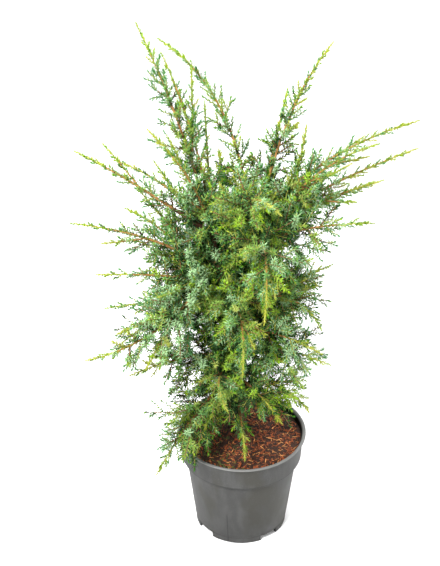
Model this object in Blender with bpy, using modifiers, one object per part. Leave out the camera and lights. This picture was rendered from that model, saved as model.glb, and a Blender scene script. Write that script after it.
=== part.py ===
"""Young juniper shrub in a round nursery pot, built as separate solids.

Metres, +Z up. The origin is the centre of the pot's underside. The pot stands
on the ground plane, the tallest leader leans to the left and back.
"""
import math
import random

import bmesh
import bpy
import numpy as np
from mathutils import Quaternion, Vector

MM = 0.001

# Pot
POT_HEIGHT = 163 * MM
RIM_RADIUS = 95 * MM
COLLAR_TOP_RADIUS = 90.8 * MM
COLLAR_FOOT_RADIUS = 88.9 * MM
COLLAR_FOOT_HEIGHT = 124.6 * MM
BODY_TOP_RADIUS = 82.3 * MM
BODY_FOOT_RADIUS = 67.8 * MM
WALL = 1.6 * MM
FLOOR_RECESS = 10 * MM
FLOOR_THICKNESS = 2 * MM
PAD_RADIUS = 32.6 * MM
FOOT_RING = 4 * MM
POT_SIDES = 32
NOTCH_HEIGHT = 9.5 * MM
NOTCH_WIDTH = 30 * MM
NOTCH_HEADINGS = (-52, 38, 128, 218)

# Soil
SOIL_HEIGHT = 151 * MM
SOIL_RIPPLE = 1.6 * MM
GAP = 0.3 * MM

# Limbs
TRUNK_RADIUS = 8 * MM
TRUNK_TIP_RADIUS = 4.4 * MM
ROOT_FLARE = 12.5 * MM
FLARE_HEIGHT = 14 * MM
SECOND_RADIUS = 5.8 * MM
SECOND_TIP_RADIUS = 4.0 * MM
BOUGH_RADIUS = 3.3 * MM
BOUGH_TIP_RADIUS = 2.4 * MM
STEM_RADIUS = 2.3 * MM
STEM_TIP_RADIUS = 1.2 * MM

# Sprays of needles, larger than life: whorls of three needles on a slim core
NEEDLE_REACH = 11 * MM
NEEDLE_RISE = 17 * MM
WHORL_PITCH = 14 * MM
SPRAY_CORE = 1.3 * MM
SPRAY_ROOT = 1.1 * MM
SPRAY_TIP = 5 * MM
SPRAY_SIDES = 3
SPRAY_CLEARANCE = 0.6 * MM
STATION_PITCH = 22.5 * MM
GOLDEN_ANGLE = 137.5
PATH_STEPS = 24
BOUGH_PIECES = 3
STEM_PIECES = 5

# Each limb is an arc: parent, start height (mm), heading and how far it turns,
# rise at its start and at its tip (degrees), length (mm), how late it bends,
# and the length of bare bough before the needles start (0: no bough of its own)
LIMBS = {
    "left_leader": ("trunk", 503, 130, 0, 66, 47, 298, 1.3, 70),
    "left_inner_leader": ("trunk", 478, 107, 50, 70, 64, 275, 1.6, 60),
    "left_short": ("trunk", 490, 222, -50, 75, 46, 200, 1.5, 0),
    "left_high_back": ("trunk", 474, 128, 50, 52, 20, 187, 0.7, 55),
    "left_high": ("trunk", 496, 191, -3, 41, 33, 233, 2.5, 70),
    "left_middle": ("trunk", 420, 195, -7, 68, 12, 238, 0.5, 55),
    "left_middle_low": ("trunk", 400, 220, -30, 70, 5, 204, 0.4, 50),
    "left_low_back": ("trunk", 348, 157, 17, 43, -18, 181, 0.4, 0),
    "left_low_front": ("trunk", 451, 240, -29, -25, 9, 251, 1.3, 60),
    "left_lowest": ("trunk", 300, 214, 2, 23, 0, 169, 0.8, 0),
    "left_skirt": ("trunk", 255, 224, -1, 15, -50, 180, 0.4, 0),
    "right_leader": ("second_stem", 490, 28, 4, 75, 42, 287, 2.4, 70),
    "arching_leader": ("second_stem", 479, 106, 50, 76, 23, 318, 1.4, 90),
    "right_inner": ("second_stem", 434, 6, 3, 37, 84, 240, 0.5, 0),
    "right_high_outer": ("second_stem", 462, -11, 31, 76, 6, 317, 0.9, 60),
    "right_high": ("second_stem", 446, -11, -9, 63, 26, 284, 1.8, 70),
    "right_middle_outer": ("second_stem", 488, 16, -2, 44, 15, 256, 0.4, 55),
    "right_middle": ("second_stem", 474, 17, -49, 34, 31, 207, 0.6, 50),
    "right_low_outer": ("second_stem", 432, -47, 46, 76, 1, 238, 0.7, 55),
    "right_low": ("trunk", 335, 17, 6, 54, 12, 181, 0.5, 0),
    "right_lower": ("trunk", 345, -17, -26, 60, -55, 195, 1.7, 0),
    "right_lowest": ("trunk", 290, -39, 19, 76, -14, 174, 0.5, 0),
    "right_low_front": ("trunk", 322, -48, 28, 60, -24, 172, 0.8, 0),
    "right_skirt": ("trunk", 235, -10, -16, 52, -53, 127, 0.8, 0),
    "front_hanging": ("trunk", 400, -65, -31, 33, -45, 189, 1.0, 0),
    "front_skirt": ("trunk", 225, -76, -12, -25, -30, 100, 1.0, 0),
    "front_right": ("second_stem", 468, -71, -27, 70, -45, 228, 0.7, 0),
    "left_skirt_front": ("trunk", 232, 236, 2, 30, -64, 124, 0.75, 0),
    "right_skirt_front": ("trunk", 262, -58, 26, 25, -52, 112, 0.8, 0),
    "front_left_low": ("trunk", 275, -118, 50, 35, -8, 145, 0.7, 0),
    "front_high": ("second_stem", 452, -105, 50, 72, -10, 246, 2.0, 0),
    "back_high_left": ("trunk", 458, 99, -7, 59, 24, 233, 1.0, 50),
    "back_high_right": ("second_stem", 478, 69, 7, 45, 29, 231, 1.9, 50),
    "back_middle": ("trunk", 405, 86, 8, 58, 4, 248, 0.7, 50),
    "back_middle_left": ("trunk", 376, 130, 6, 54, -4, 226, 0.7, 0),
    "back_middle_right": ("second_stem", 405, 48, 6, 56, -1, 237, 0.7, 0),
    "back_low_left": ("trunk", 318, 110, -9, 46, -18, 207, 0.8, 0),
    "back_low_right": ("trunk", 310, 54, 10, 44, -20, 201, 0.8, 0),
    "back_skirt": ("trunk", 245, 94, 10, 28, -46, 163, 0.8, 0),
}


def clear_scene():
    for scene_object in list(bpy.data.objects):
        bpy.data.objects.remove(scene_object, do_unlink=True)


def new_collection(name):
    collection = bpy.data.collections.new(name)
    bpy.context.scene.collection.children.link(collection)
    return collection


def plain_material(name, colour, roughness):
    material = bpy.data.materials.new(name)
    material.use_nodes = True
    shader = material.node_tree.nodes["Principled BSDF"]
    shader.inputs["Base Color"].default_value = (*colour, 1.0)
    shader.inputs["Roughness"].default_value = roughness
    return material


def add_object(name, mesh, collection, material=None):
    made = bpy.data.objects.new(name, mesh)
    collection.objects.link(made)
    if material is not None:
        mesh.materials.clear()
        mesh.materials.append(material)
    return made


def baked(scene_object):
    """The object's mesh with its modifiers applied."""
    depsgraph = bpy.context.evaluated_depsgraph_get()
    depsgraph.update()
    return bpy.data.meshes.new_from_object(scene_object.evaluated_get(depsgraph))


def apply_modifiers(scene_object):
    mesh = baked(scene_object)
    scene_object.modifiers.clear()
    scene_object.data = mesh


def turned_profile(name, profile, sides, collection):
    """Solid of revolution from (radius, height) pairs listed down the outer side."""
    mesh = bpy.data.meshes.new(name)
    mesh.from_pydata(
        [(radius, 0.0, height) for radius, height in profile],
        [(i, i + 1) for i in range(len(profile) - 1)],
        [],
    )
    turned = add_object(name, mesh, collection)
    screw = turned.modifiers.new("turn", "SCREW")
    screw.axis = "Z"
    screw.steps = sides
    screw.render_steps = sides
    screw.use_merge_vertices = True
    screw.merge_threshold = 0.00005
    screw.use_smooth_shade = False
    apply_modifiers(turned)
    return turned


def limb_path(start, heading, turn, rise, tip_rise, length, lateness):
    """Points of an arc that turns and bends by an even rule along its length."""
    points = [start.copy()]
    for step in range(PATH_STEPS):
        share = (step + 0.5) / PATH_STEPS
        side = math.radians(heading + turn * share)
        up = math.radians(rise + (tip_rise - rise) * share ** lateness)
        direction = Vector((
            math.cos(up) * math.cos(side),
            math.cos(up) * math.sin(side),
            math.sin(up),
        ))
        points.append(points[-1] + direction * (length / PATH_STEPS))
    return points


def along(points, distance):
    """Point and direction at a distance along a path."""
    for first, second in zip(points, points[1:]):
        reach = (second - first).length
        if distance <= reach or second is points[-1]:
            direction = (second - first).normalized()
            return first + direction * distance, direction
        distance -= reach


def at_height(points, height):
    for first, second in zip(points, points[1:]):
        if second.z >= height:
            return first.lerp(second, (height - first.z) / (second.z - first.z))
    return points[-1].copy()


def path_length(points):
    return sum((b - a).length for a, b in zip(points, points[1:]))


def stretch(points, start, end, count):
    return [along(points, start + (end - start) * i / count)[0] for i in range(count + 1)]


def tapered_limb(name, points, radii, sides, collection, material=None):
    """Closed limb of round section from a path and a radius at each point."""
    curve = bpy.data.curves.new(name, "CURVE")
    curve.dimensions = "3D"
    curve.bevel_depth = 1.0
    curve.bevel_resolution = (sides - 4) // 2
    curve.use_fill_caps = True
    spline = curve.splines.new("POLY")
    spline.points.add(len(points) - 1)
    for point, place, radius in zip(spline.points, points, radii):
        point.co = (*place, 1.0)
        point.radius = radius
    drawn = bpy.data.objects.new(name + "_curve", curve)
    collection.objects.link(drawn)
    mesh = baked(drawn)
    bpy.data.objects.remove(drawn, do_unlink=True)
    tidy = bmesh.new()
    tidy.from_mesh(mesh)
    bmesh.ops.remove_doubles(tidy, verts=tidy.verts, dist=0.00001)
    bmesh.ops.recalc_face_normals(tidy, faces=tidy.faces)
    tidy.to_mesh(mesh)
    tidy.free()
    mesh.name = name
    return add_object(name, mesh, collection, material)


def keep_main_piece(mesh):
    """Drops loose scrap and leaves the largest closed piece."""
    work = bmesh.new()
    work.from_mesh(mesh)
    work.verts.ensure_lookup_table()
    unseen = set(work.verts)
    pieces = []
    while unseen:
        edge_of_piece = [unseen.pop()]
        piece = set(edge_of_piece)
        while edge_of_piece:
            for edge in edge_of_piece.pop().link_edges:
                for vertex in edge.verts:
                    if vertex in unseen:
                        unseen.discard(vertex)
                        piece.add(vertex)
                        edge_of_piece.append(vertex)
        pieces.append(piece)
    pieces.sort(key=len, reverse=True)
    scrap = [vertex for piece in pieces[1:] for vertex in piece]
    bmesh.ops.delete(work, geom=scrap, context="VERTS")
    bmesh.ops.triangulate(work, faces=work.faces)
    work.to_mesh(mesh)
    work.free()
    return len(pieces)


def cut_away(scene_object, cutter):
    cut = scene_object.modifiers.new("clear of parent", "BOOLEAN")
    cut.operation = "DIFFERENCE"
    cut.solver = "EXACT"
    cut.object = cutter
    apply_modifiers(scene_object)
    keep_main_piece(scene_object.data)


def build_pot(parts, cutters):
    material = plain_material("dusty_grey_plastic", (0.135, 0.135, 0.13), 0.62)
    floor_top = FLOOR_RECESS + FLOOR_THICKNESS
    lip_inner = COLLAR_TOP_RADIUS + 0.8 * MM
    profile = [
        (0, floor_top),
        (BODY_FOOT_RADIUS - 1.2 * MM, floor_top),
        (BODY_TOP_RADIUS - WALL, COLLAR_FOOT_HEIGHT - 4.6 * MM),
        (COLLAR_FOOT_RADIUS - WALL, COLLAR_FOOT_HEIGHT - 0.9 * MM),
        (COLLAR_TOP_RADIUS - WALL, POT_HEIGHT - 4.6 * MM),
        (lip_inner, POT_HEIGHT - 0.4 * MM),
        (RIM_RADIUS - 1.2 * MM, POT_HEIGHT),
        (RIM_RADIUS, POT_HEIGHT - 1.4 * MM),
        (RIM_RADIUS - 0.6 * MM, POT_HEIGHT - 3.4 * MM),
        (COLLAR_TOP_RADIUS, POT_HEIGHT - 4 * MM),
        (COLLAR_FOOT_RADIUS, COLLAR_FOOT_HEIGHT),
        (COLLAR_FOOT_RADIUS - 1.3 * MM, COLLAR_FOOT_HEIGHT - 2.6 * MM),
        (BODY_TOP_RADIUS, COLLAR_FOOT_HEIGHT - 5.6 * MM),
        (BODY_FOOT_RADIUS + 1.2 * MM, floor_top + 0.6 * MM),
        (BODY_FOOT_RADIUS + 0.6 * MM, floor_top),
        (BODY_FOOT_RADIUS, 1.4 * MM),
        (BODY_FOOT_RADIUS - 1.4 * MM, 0),
        (BODY_FOOT_RADIUS - 1.4 * MM - FOOT_RING, 0),
        (BODY_FOOT_RADIUS - 2.4 * MM - FOOT_RING, FLOOR_RECESS),
        (PAD_RADIUS + 1.4 * MM, FLOOR_RECESS),
        (PAD_RADIUS, 0),
        (0, 0),
    ]
    pot = turned_profile("pot", profile, POT_SIDES, parts)
    pot.data.materials.append(material)
    for number, heading in enumerate(NOTCH_HEADINGS):
        bpy.ops.mesh.primitive_cube_add(size=1.0)
        notch = bpy.context.object
        notch.name = "foot_notch_%d" % number
        for owner in list(notch.users_collection):
            owner.objects.unlink(notch)
        cutters.objects.link(notch)
        side = math.radians(heading)
        middle = BODY_FOOT_RADIUS - FOOT_RING / 2
        notch.dimensions = (FOOT_RING + 11 * MM, NOTCH_WIDTH, 2 * NOTCH_HEIGHT)
        notch.location = (middle * math.cos(side), middle * math.sin(side), 0)
        notch.rotation_euler = (0, 0, side)
        notch.hide_render = True
        notch.display_type = "WIRE"
    bpy.context.view_layer.update()
    cut = pot.modifiers.new("foot notches", "BOOLEAN")
    cut.operation = "DIFFERENCE"
    cut.solver = "EXACT"
    cut.operand_type = "COLLECTION"
    cut.collection = cutters
    apply_modifiers(pot)
    keep_main_piece(pot.data)
    for notch in list(cutters.objects):
        bpy.data.objects.remove(notch, do_unlink=True)
    pot.data.shade_smooth()
    pot.data.set_sharp_from_angle(angle=math.radians(32))
    return pot


def build_soil(parts):
    """Bark and peat fill, 0.3 mm clear of the pot all round."""
    material = plain_material("bark_and_peat", (0.17, 0.075, 0.035), 0.95)
    collar_slope = (COLLAR_TOP_RADIUS - COLLAR_FOOT_RADIUS) / (
        POT_HEIGHT - 4.6 * MM - COLLAR_FOOT_HEIGHT
    )
    top_radius = COLLAR_FOOT_RADIUS - WALL - GAP
    top_radius += collar_slope * (SOIL_HEIGHT - COLLAR_FOOT_HEIGHT)
    profile = [
        (0, SOIL_HEIGHT),
        (ROOT_FLARE + 4 * MM, SOIL_HEIGHT),
        (48 * MM, SOIL_HEIGHT),
        (top_radius - 3 * MM, SOIL_HEIGHT),
        (top_radius, SOIL_HEIGHT - 1.5 * MM),
        (COLLAR_FOOT_RADIUS - WALL - GAP, COLLAR_FOOT_HEIGHT - 0.9 * MM + GAP),
        (BODY_TOP_RADIUS - WALL - GAP, COLLAR_FOOT_HEIGHT - 4.6 * MM + GAP),
        (BODY_FOOT_RADIUS - 1.2 * MM - 1.4 * GAP, FLOOR_RECESS + FLOOR_THICKNESS + GAP),
        (0, FLOOR_RECESS + FLOOR_THICKNESS + GAP),
    ]
    soil = turned_profile("soil", profile, POT_SIDES, parts)
    soil.data.materials.append(material)
    ripple = random.Random(7)
    for vertex in soil.data.vertices:
        if 40 * MM < math.hypot(vertex.co.x, vertex.co.y) < 60 * MM and vertex.co.z > 0.14:
            vertex.co.z += ripple.uniform(-SOIL_RIPPLE, SOIL_RIPPLE)
    return soil


def straight_taper(count, first, last):
    return [first + (last - first) * i / count for i in range(count + 1)]


def build_trunks(parts, cutters):
    """Main trunk and second stem, with a slightly larger copy of each to cut with."""
    bark = plain_material("juniper_bark", (0.16, 0.07, 0.035), 0.85)
    root = Vector((0, 0, SOIL_HEIGHT + GAP))
    paths = {}
    shapes = {}
    leaning = limb_path(root + Vector((0, 0, FLARE_HEIGHT)), 165, 0, 81, 84, 344 * MM, 1.0)
    trunk_points = [root, root + Vector((0, 0, 0.35 * FLARE_HEIGHT))]
    trunk_points += stretch(leaning, 0, path_length(leaning), 6)
    trunk_radii = [ROOT_FLARE, TRUNK_RADIUS + 1.6 * MM]
    trunk_radii += straight_taper(6, TRUNK_RADIUS, TRUNK_TIP_RADIUS)
    paths["trunk"] = [root] + leaning
    shapes["trunk"] = (trunk_points, trunk_radii)
    fork = at_height(leaning, 360 * MM)
    second = limb_path(fork, 25, 0, 70, 71, 145 * MM, 1.0)
    paths["second_stem"] = second
    second_points = stretch(second, 0, path_length(second), 4)
    shapes["second_stem"] = (
        second_points,
        straight_taper(4, SECOND_RADIUS, SECOND_TIP_RADIUS),
    )
    larger = {}
    for name, (points, radii) in shapes.items():
        end_direction = (points[-1] - points[-2]).normalized()
        longer = points[:-1] + [points[-1] + end_direction * GAP]
        wider = [radius + GAP for radius in radii]
        larger[name] = tapered_limb(name + "_clearance", longer, wider, 8, cutters)
        larger[name].hide_render = True
        larger[name].display_type = "WIRE"
        made = tapered_limb(name, points, radii, 8, parts, bark)
        if name == "second_stem":
            cut_away(made, larger["trunk"])
        made.data.shade_smooth()
    return paths, shapes, larger, bark


def spray_mesh(whorls, cutters):
    """Straight spray along +Z: a slim core with whorls of three needles."""
    profile = [(0, spray_length(whorls))]
    for whorl in reversed(range(whorls)):
        base = whorl * WHORL_PITCH
        core = SPRAY_CORE if whorl else SPRAY_ROOT
        profile.append((NEEDLE_REACH, base + NEEDLE_RISE))
        profile.append((core, base))
    profile.append((0, 0))
    drawn = turned_profile("spray_%d" % whorls, profile, SPRAY_SIDES, cutters)
    mesh = drawn.data
    bpy.data.objects.remove(drawn, do_unlink=True)
    return mesh


def spray_length(whorls):
    return (whorls - 1) * WHORL_PITCH + NEEDLE_RISE + SPRAY_TIP


def segment_gaps(start, end, starts, ends):
    """Distances from one segment to many."""
    u = end - start
    v = ends - starts
    w = start - starts
    a = float(u @ u)
    b = v @ u
    c = np.einsum("ij,ij->i", v, v)
    d = w @ u
    e = np.einsum("ij,ij->i", v, w)
    denominator = np.maximum(a * c - b * b, 1e-16)
    s = np.clip((b * e - c * d) / denominator, 0, 1)
    t = np.clip((b * s + e) / np.maximum(c, 1e-16), 0, 1)
    s = np.clip((b * t - d) / max(a, 1e-16), 0, 1)
    apart = w + s[:, None] * u - t[:, None] * v
    return np.sqrt(np.einsum("ij,ij->i", apart, apart))


class Space:
    """Round-ended rods that stand for everything already placed."""

    def __init__(self):
        self.starts = []
        self.ends = []
        self.radii = []
        self.owners = []

    def add(self, start, end, radius, owner):
        self.starts.append(tuple(start))
        self.ends.append(tuple(end))
        self.radii.append(radius)
        self.owners.append(owner)

    def room_for(self, start, end, radius, owner):
        others = np.array([name != owner for name in self.owners])
        starts = np.array(self.starts)[others]
        ends = np.array(self.ends)[others]
        gaps = segment_gaps(np.array(start), np.array(end), starts, ends)
        gaps -= np.array(self.radii)[others]
        return bool((gaps > radius + SPRAY_CLEARANCE).all()) and clear_of_pot(start, end, radius)


def clear_of_pot(start, end, radius):
    for share in (0.0, 0.25, 0.5, 0.75, 1.0):
        place = start.lerp(end, share)
        across = math.hypot(place.x, place.y)
        room = radius + 1.5 * MM
        if across < COLLAR_TOP_RADIUS - WALL - room:
            if place.z < SOIL_HEIGHT + SOIL_RIPPLE + room:
                return False
        elif across < RIM_RADIUS + room and place.z < POT_HEIGHT + room:
            return False
    return True


def lay_out_limbs(trunk_paths, shapes):
    """Paths of all boughs and stems, and the space they take."""
    space = Space()
    for name, (points, radii) in shapes.items():
        for first, second, radius in zip(points, points[1:], radii):
            space.add(first, second, radius, name)
    plans = {}
    for name, row in LIMBS.items():
        parent, height, heading, turn, rise, tip_rise, length, lateness, bare = row
        parent_path = trunk_paths[parent]
        top = parent_path[-1].z - 3 * MM
        start = at_height(parent_path, min(height * MM, top))
        path = limb_path(start, heading, turn, rise, tip_rise, length * MM, lateness)
        bare = bare * MM
        stem_start = bare + GAP if bare else 0.0
        stem_end = length * MM - spray_length(2) + 2 * MM
        plan = {"parent": parent, "path": path, "bare": bare}
        plan["stem"] = stretch(path, stem_start, stem_end, STEM_PIECES)
        plan["stem_span"] = (stem_start, stem_end)
        if bare:
            plan["bough"] = stretch(path, 0, bare, BOUGH_PIECES)
            for first, second in zip(plan["bough"], plan["bough"][1:]):
                space.add(first, second, BOUGH_RADIUS, name + "_bough")
        for first, second in zip(plan["stem"], plan["stem"][1:]):
            space.add(first, second, STEM_RADIUS, name)
        plans[name] = plan
    return plans, space


def place_sprays(plans, space):
    """Seeded rule: stations from tip to base, each turned on by the golden angle."""
    rule = random.Random(41)
    stations = {}
    for name, plan in plans.items():
        start, end = plan["stem_span"]
        plan["sprays"] = []
        tip, tip_direction = along(plan["path"], end)
        plan["sprays"].append((tip - tip_direction * 2 * MM, tip_direction, 2, rule.uniform(0, 120)))
        space.add(tip, tip + tip_direction * (spray_length(2) - SPRAY_TIP), NEEDLE_REACH, name)
        count = int((end - start - 14 * MM) / STATION_PITCH)
        stations[name] = [
            (end - 6 * MM - STATION_PITCH * i, GOLDEN_ANGLE * i + rule.uniform(-20, 20))
            for i in range(count + 1)
        ]
    for turn_number in range(max(len(rows) for rows in stations.values())):
        for name, plan in plans.items():
            if turn_number >= len(stations[name]):
                continue
            distance, around = stations[name][turn_number]
            base, direction = along(plan["path"], distance)
            inward = 1 - distance / plan["stem_span"][1]
            wanted = 2 if inward < 0.4 else (3 if inward < 0.62 else 4)
            lean = 38 + 26 * inward + rule.uniform(-5, 5)
            placed = False
            for whorls in range(wanted, 1, -1):
                for attempt in range(5):
                    spray = side_direction(direction, around + 67 * attempt, lean)
                    rod_start = base + spray * NEEDLE_REACH
                    rod_end = base + spray * (spray_length(whorls) - SPRAY_TIP)
                    if space.room_for(rod_start, rod_end, NEEDLE_REACH, name):
                        space.add(rod_start, rod_end, NEEDLE_REACH, name)
                        plan["sprays"].append((base, spray, whorls, rule.uniform(0, 120)))
                        placed = True
                        break
                if placed:
                    break


def side_direction(direction, around, lean):
    """Direction leaning away from a stem, at an angle around it."""
    across = direction.cross(Vector((0, 0, 1)))
    if across.length < 0.1:
        across = Vector((1, 0, 0))
    across.normalize()
    across = Quaternion(direction, math.radians(around)) @ across
    angle = math.radians(lean)
    return (direction * math.cos(angle) + across * math.sin(angle)).normalized()


def is_closed(mesh):
    work = bmesh.new()
    work.from_mesh(mesh)
    closed = all(edge.is_manifold for edge in work.edges)
    work.free()
    return closed


def join_sprays(needles, holder):
    """One union on the collection; the second solver steps in where the first leaves a hole."""
    stem = needles.data
    for solver in ("EXACT", "MANIFOLD"):
        needles.data = stem
        join = needles.modifiers.new("sprays", "BOOLEAN")
        join.operation = "UNION"
        join.solver = solver
        join.operand_type = "COLLECTION"
        join.collection = holder
        apply_modifiers(needles)
        loose = keep_main_piece(needles.data) - 1
        if is_closed(needles.data):
            return loose
    raise RuntimeError(needles.name + " is not closed")


def rooted_piece(plan):
    """The piece that grows from the parent: the bough, or the stem where there is none."""
    if plan["bare"]:
        return plan["bough"], straight_taper(BOUGH_PIECES, BOUGH_RADIUS, BOUGH_TIP_RADIUS), 6
    return plan["stem"], straight_taper(STEM_PIECES, STEM_RADIUS, STEM_TIP_RADIUS), 4


def touches(first, second):
    """Whether two limbs meet near their roots."""
    points, radii, _ = rooted_piece(first)
    others, other_radii, _ = rooted_piece(second)
    starts = np.array(others[:-1])
    ends = np.array(others[1:])
    for start, end in zip(points, points[1:]):
        gaps = segment_gaps(np.array(start), np.array(end), starts, ends)
        if gaps.min() < radii[0] + other_radii[0] + GAP:
            return True
    return False


def cope_root(piece, name, plans, larger, cutters):
    """Cuts a limb's root clear of its parent and of each earlier limb that it meets."""
    plan = plans[name]
    cut_away(piece, larger[plan["parent"]])
    for earlier in plans:
        if earlier == name:
            break
        if touches(plan, plans[earlier]):
            points, radii, sides = rooted_piece(plans[earlier])
            wider = [radius + GAP for radius in radii]
            cutter = tapered_limb("neighbour", points, wider, sides, cutters)
            cut_away(piece, cutter)
            bpy.data.objects.remove(cutter, do_unlink=True)


def build_limb(name, plans, larger, sprays, parts, cutters, bark, greens):
    plan = plans[name]
    if plan["bare"]:
        points, radii, sides = rooted_piece(plan)
        bough = tapered_limb(name + "_bough", points, radii, sides, parts, bark)
        cope_root(bough, name, plans, larger, cutters)
        bough.data.shade_smooth()
    needles = tapered_limb(
        name + "_needles", plan["stem"],
        straight_taper(STEM_PIECES, STEM_RADIUS, STEM_TIP_RADIUS), 4, parts,
    )
    if not plan["bare"]:
        cope_root(needles, name, plans, larger, cutters)
    holder = new_collection(name + "_sprays")
    for number, (base, direction, whorls, roll) in enumerate(plan["sprays"]):
        spray = bpy.data.objects.new("%s_spray_%d" % (name, number), sprays[whorls])
        spray.location = base
        facing = direction.to_track_quat("Z", "Y")
        spray.rotation_mode = "QUATERNION"
        spray.rotation_quaternion = facing @ Quaternion((0, 0, 1), math.radians(roll))
        holder.objects.link(spray)
    bpy.context.view_layer.update()
    loose = join_sprays(needles, holder)
    needles.data.materials.clear()
    needles.data.materials.append(greens)
    for spray in list(holder.objects):
        bpy.data.objects.remove(spray, do_unlink=True)
    bpy.data.collections.remove(holder)
    if loose:
        print("loose pieces dropped from", name, loose)


def build():
    clear_scene()
    parts = new_collection("potted_swedish_juniper")
    cutters = new_collection("cutters")
    build_pot(parts, cutters)
    build_soil(parts)
    trunk_paths, shapes, larger, bark = build_trunks(parts, cutters)
    plans, space = lay_out_limbs(trunk_paths, shapes)
    place_sprays(plans, space)
    sprays = {whorls: spray_mesh(whorls, cutters) for whorls in (2, 3, 4)}
    shades = {
        "left": plain_material("needles_mid_green", (0.075, 0.17, 0.05), 0.6),
        "right": plain_material("needles_fresh_green", (0.1, 0.22, 0.055), 0.6),
        "front": plain_material("needles_yellow_green", (0.19, 0.3, 0.06), 0.6),
        "back": plain_material("needles_blue_green", (0.06, 0.14, 0.065), 0.6),
    }
    for name in plans:
        green = shades.get(name.split("_")[0], shades["left"])
        build_limb(name, plans, larger, sprays, parts, cutters, bark, green)
    for cutter in larger.values():
        bpy.data.objects.remove(cutter, do_unlink=True)


build()
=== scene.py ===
"""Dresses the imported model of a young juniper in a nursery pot.

The limbs follow the same rule as the solids, and grow on to fine twigs and
needles inside the same reach. Metres, +Z up, the pot stands on z = 0.
"""
import math
import random

import bpy
import numpy as np
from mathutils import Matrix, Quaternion, Vector, noise


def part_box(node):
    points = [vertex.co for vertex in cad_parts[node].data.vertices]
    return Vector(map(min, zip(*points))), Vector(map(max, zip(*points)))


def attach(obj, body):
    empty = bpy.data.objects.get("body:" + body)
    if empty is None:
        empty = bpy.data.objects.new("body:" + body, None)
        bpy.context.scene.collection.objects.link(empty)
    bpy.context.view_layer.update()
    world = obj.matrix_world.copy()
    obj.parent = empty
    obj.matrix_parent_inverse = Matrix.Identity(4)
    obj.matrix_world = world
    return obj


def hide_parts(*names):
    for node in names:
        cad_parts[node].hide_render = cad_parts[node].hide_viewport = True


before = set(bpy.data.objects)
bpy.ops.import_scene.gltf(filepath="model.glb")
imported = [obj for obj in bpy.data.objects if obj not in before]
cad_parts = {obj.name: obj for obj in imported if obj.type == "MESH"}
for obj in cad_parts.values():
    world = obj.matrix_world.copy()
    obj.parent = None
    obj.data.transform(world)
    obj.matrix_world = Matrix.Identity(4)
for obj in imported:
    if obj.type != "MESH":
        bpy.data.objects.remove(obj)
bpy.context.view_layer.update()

bl_info = {
    "name": "Potted juniper",
    "version": (1, 0, 0),
    "blender": (4, 5, 0),
    "location": "View3D > Sidebar > Juniper",
    "description": "Pot, soil, bark, twigs and needles of a young juniper shrub",
    "category": "Object",
}

MM = 0.001
ROOT_BODY = "root"

# Pot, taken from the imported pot's own box
POT_LOW, POT_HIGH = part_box("pot")
POT_HEIGHT = POT_HIGH[2]
RIM_RADIUS = (POT_HIGH[0] - POT_LOW[0]) / 2
COLLAR_TOP_RADIUS = RIM_RADIUS - 4.2 * MM
COLLAR_FOOT_RADIUS = RIM_RADIUS - 6.1 * MM
COLLAR_FOOT_HEIGHT = POT_HEIGHT - 38.4 * MM
BODY_TOP_RADIUS = RIM_RADIUS - 12.7 * MM
BODY_FOOT_RADIUS = RIM_RADIUS - 27.2 * MM
WALL = 1.6 * MM
FLOOR_RECESS = 10 * MM
FLOOR_THICKNESS = 2 * MM
FOOT_RING = 4 * MM
PAD_RADIUS = 32.6 * MM
POT_SIDES = 144
NOTCH_HEIGHT = 9.5 * MM
NOTCH_WIDTH = 30 * MM
NOTCH_HEADINGS = (-52, 38, 128, 218)

# Marks of the mould on the pot, and the painted shadow under its collar
SEAM_TURN = -17
SEAM_TOP = 62 * MM
SEAM_WIDTH = 1.2 * MM
SEAM_FADE = 6 * MM
FOOT_LINE_HEIGHT = 10 * MM
FOOT_LINE_WIDTH = 0.9 * MM
COLLAR_SHADOW_HEIGHT = COLLAR_FOOT_HEIGHT - 1.6 * MM
COLLAR_SHADOW_WIDTH = 2.4 * MM

# Radius of the small faces that close a turned shape on its axis
POLE_RADIUS = 1 * MM

# Soil
SOIL_HEIGHT = 151 * MM
SOIL_RADIUS = COLLAR_TOP_RADIUS - WALL - 0.9 * MM
SOIL_DEPTH = SOIL_HEIGHT - COLLAR_FOOT_HEIGHT - 2 * MM
SOIL_RINGS = 34
SOIL_SIDES = 120

# Height and closeness of the soil's lumps and of its crumbs
SOIL_BUMPS = ((2.2 * MM, 95), (1.2 * MM, 310))

# Between these distances across the pot the soil goes from mossy to clean bark
MOSSY_SIDE = (-55 * MM, 25 * MM)
MOSSY_SHARES = (0.45, 0.0)

# Chips: share of pale slivers; lengths, thicknesses and heights above the soil in
# millimetres; widths as a share of the length
SLIVER_SHARE = 0.16
CHIP_LENGTHS = (1.8, 7.0)
CHIP_THICKNESSES = (0.8, 2.0)
CHIP_LIFTS = (0.4, 2.6)
CHIP_WIDTHS = (0.18, 0.5)
CHIP_SEED = 5
CHIP_COLOURS = {
    "chip_brown": (130, 64, 26), "chip_pale": (198, 134, 76),
    "chip_dark": (40, 22, 12), "chip_mossy": (72, 76, 28),
}
BROWN_CHIP, PALE_CHIP, DARK_CHIP, MOSSY_CHIP = range(4)

# Grain of the twigs' bark and of the chips
TWIG_GRAIN = {
    "scale": 260.0, "detail": 4.0, "strength": 2.2, "light": 1.15, "roughness": 0.55,
    "bump": 0.35, "relief": 0.3 * MM,
}
CHIP_GRAIN = {
    "scale": 330.0, "detail": 5.0, "strength": 2.4, "dark": 0.5, "light": 1.45,
    "roughness": 0.66, "bump": 0.6, "relief": 0.5 * MM,
}

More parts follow.
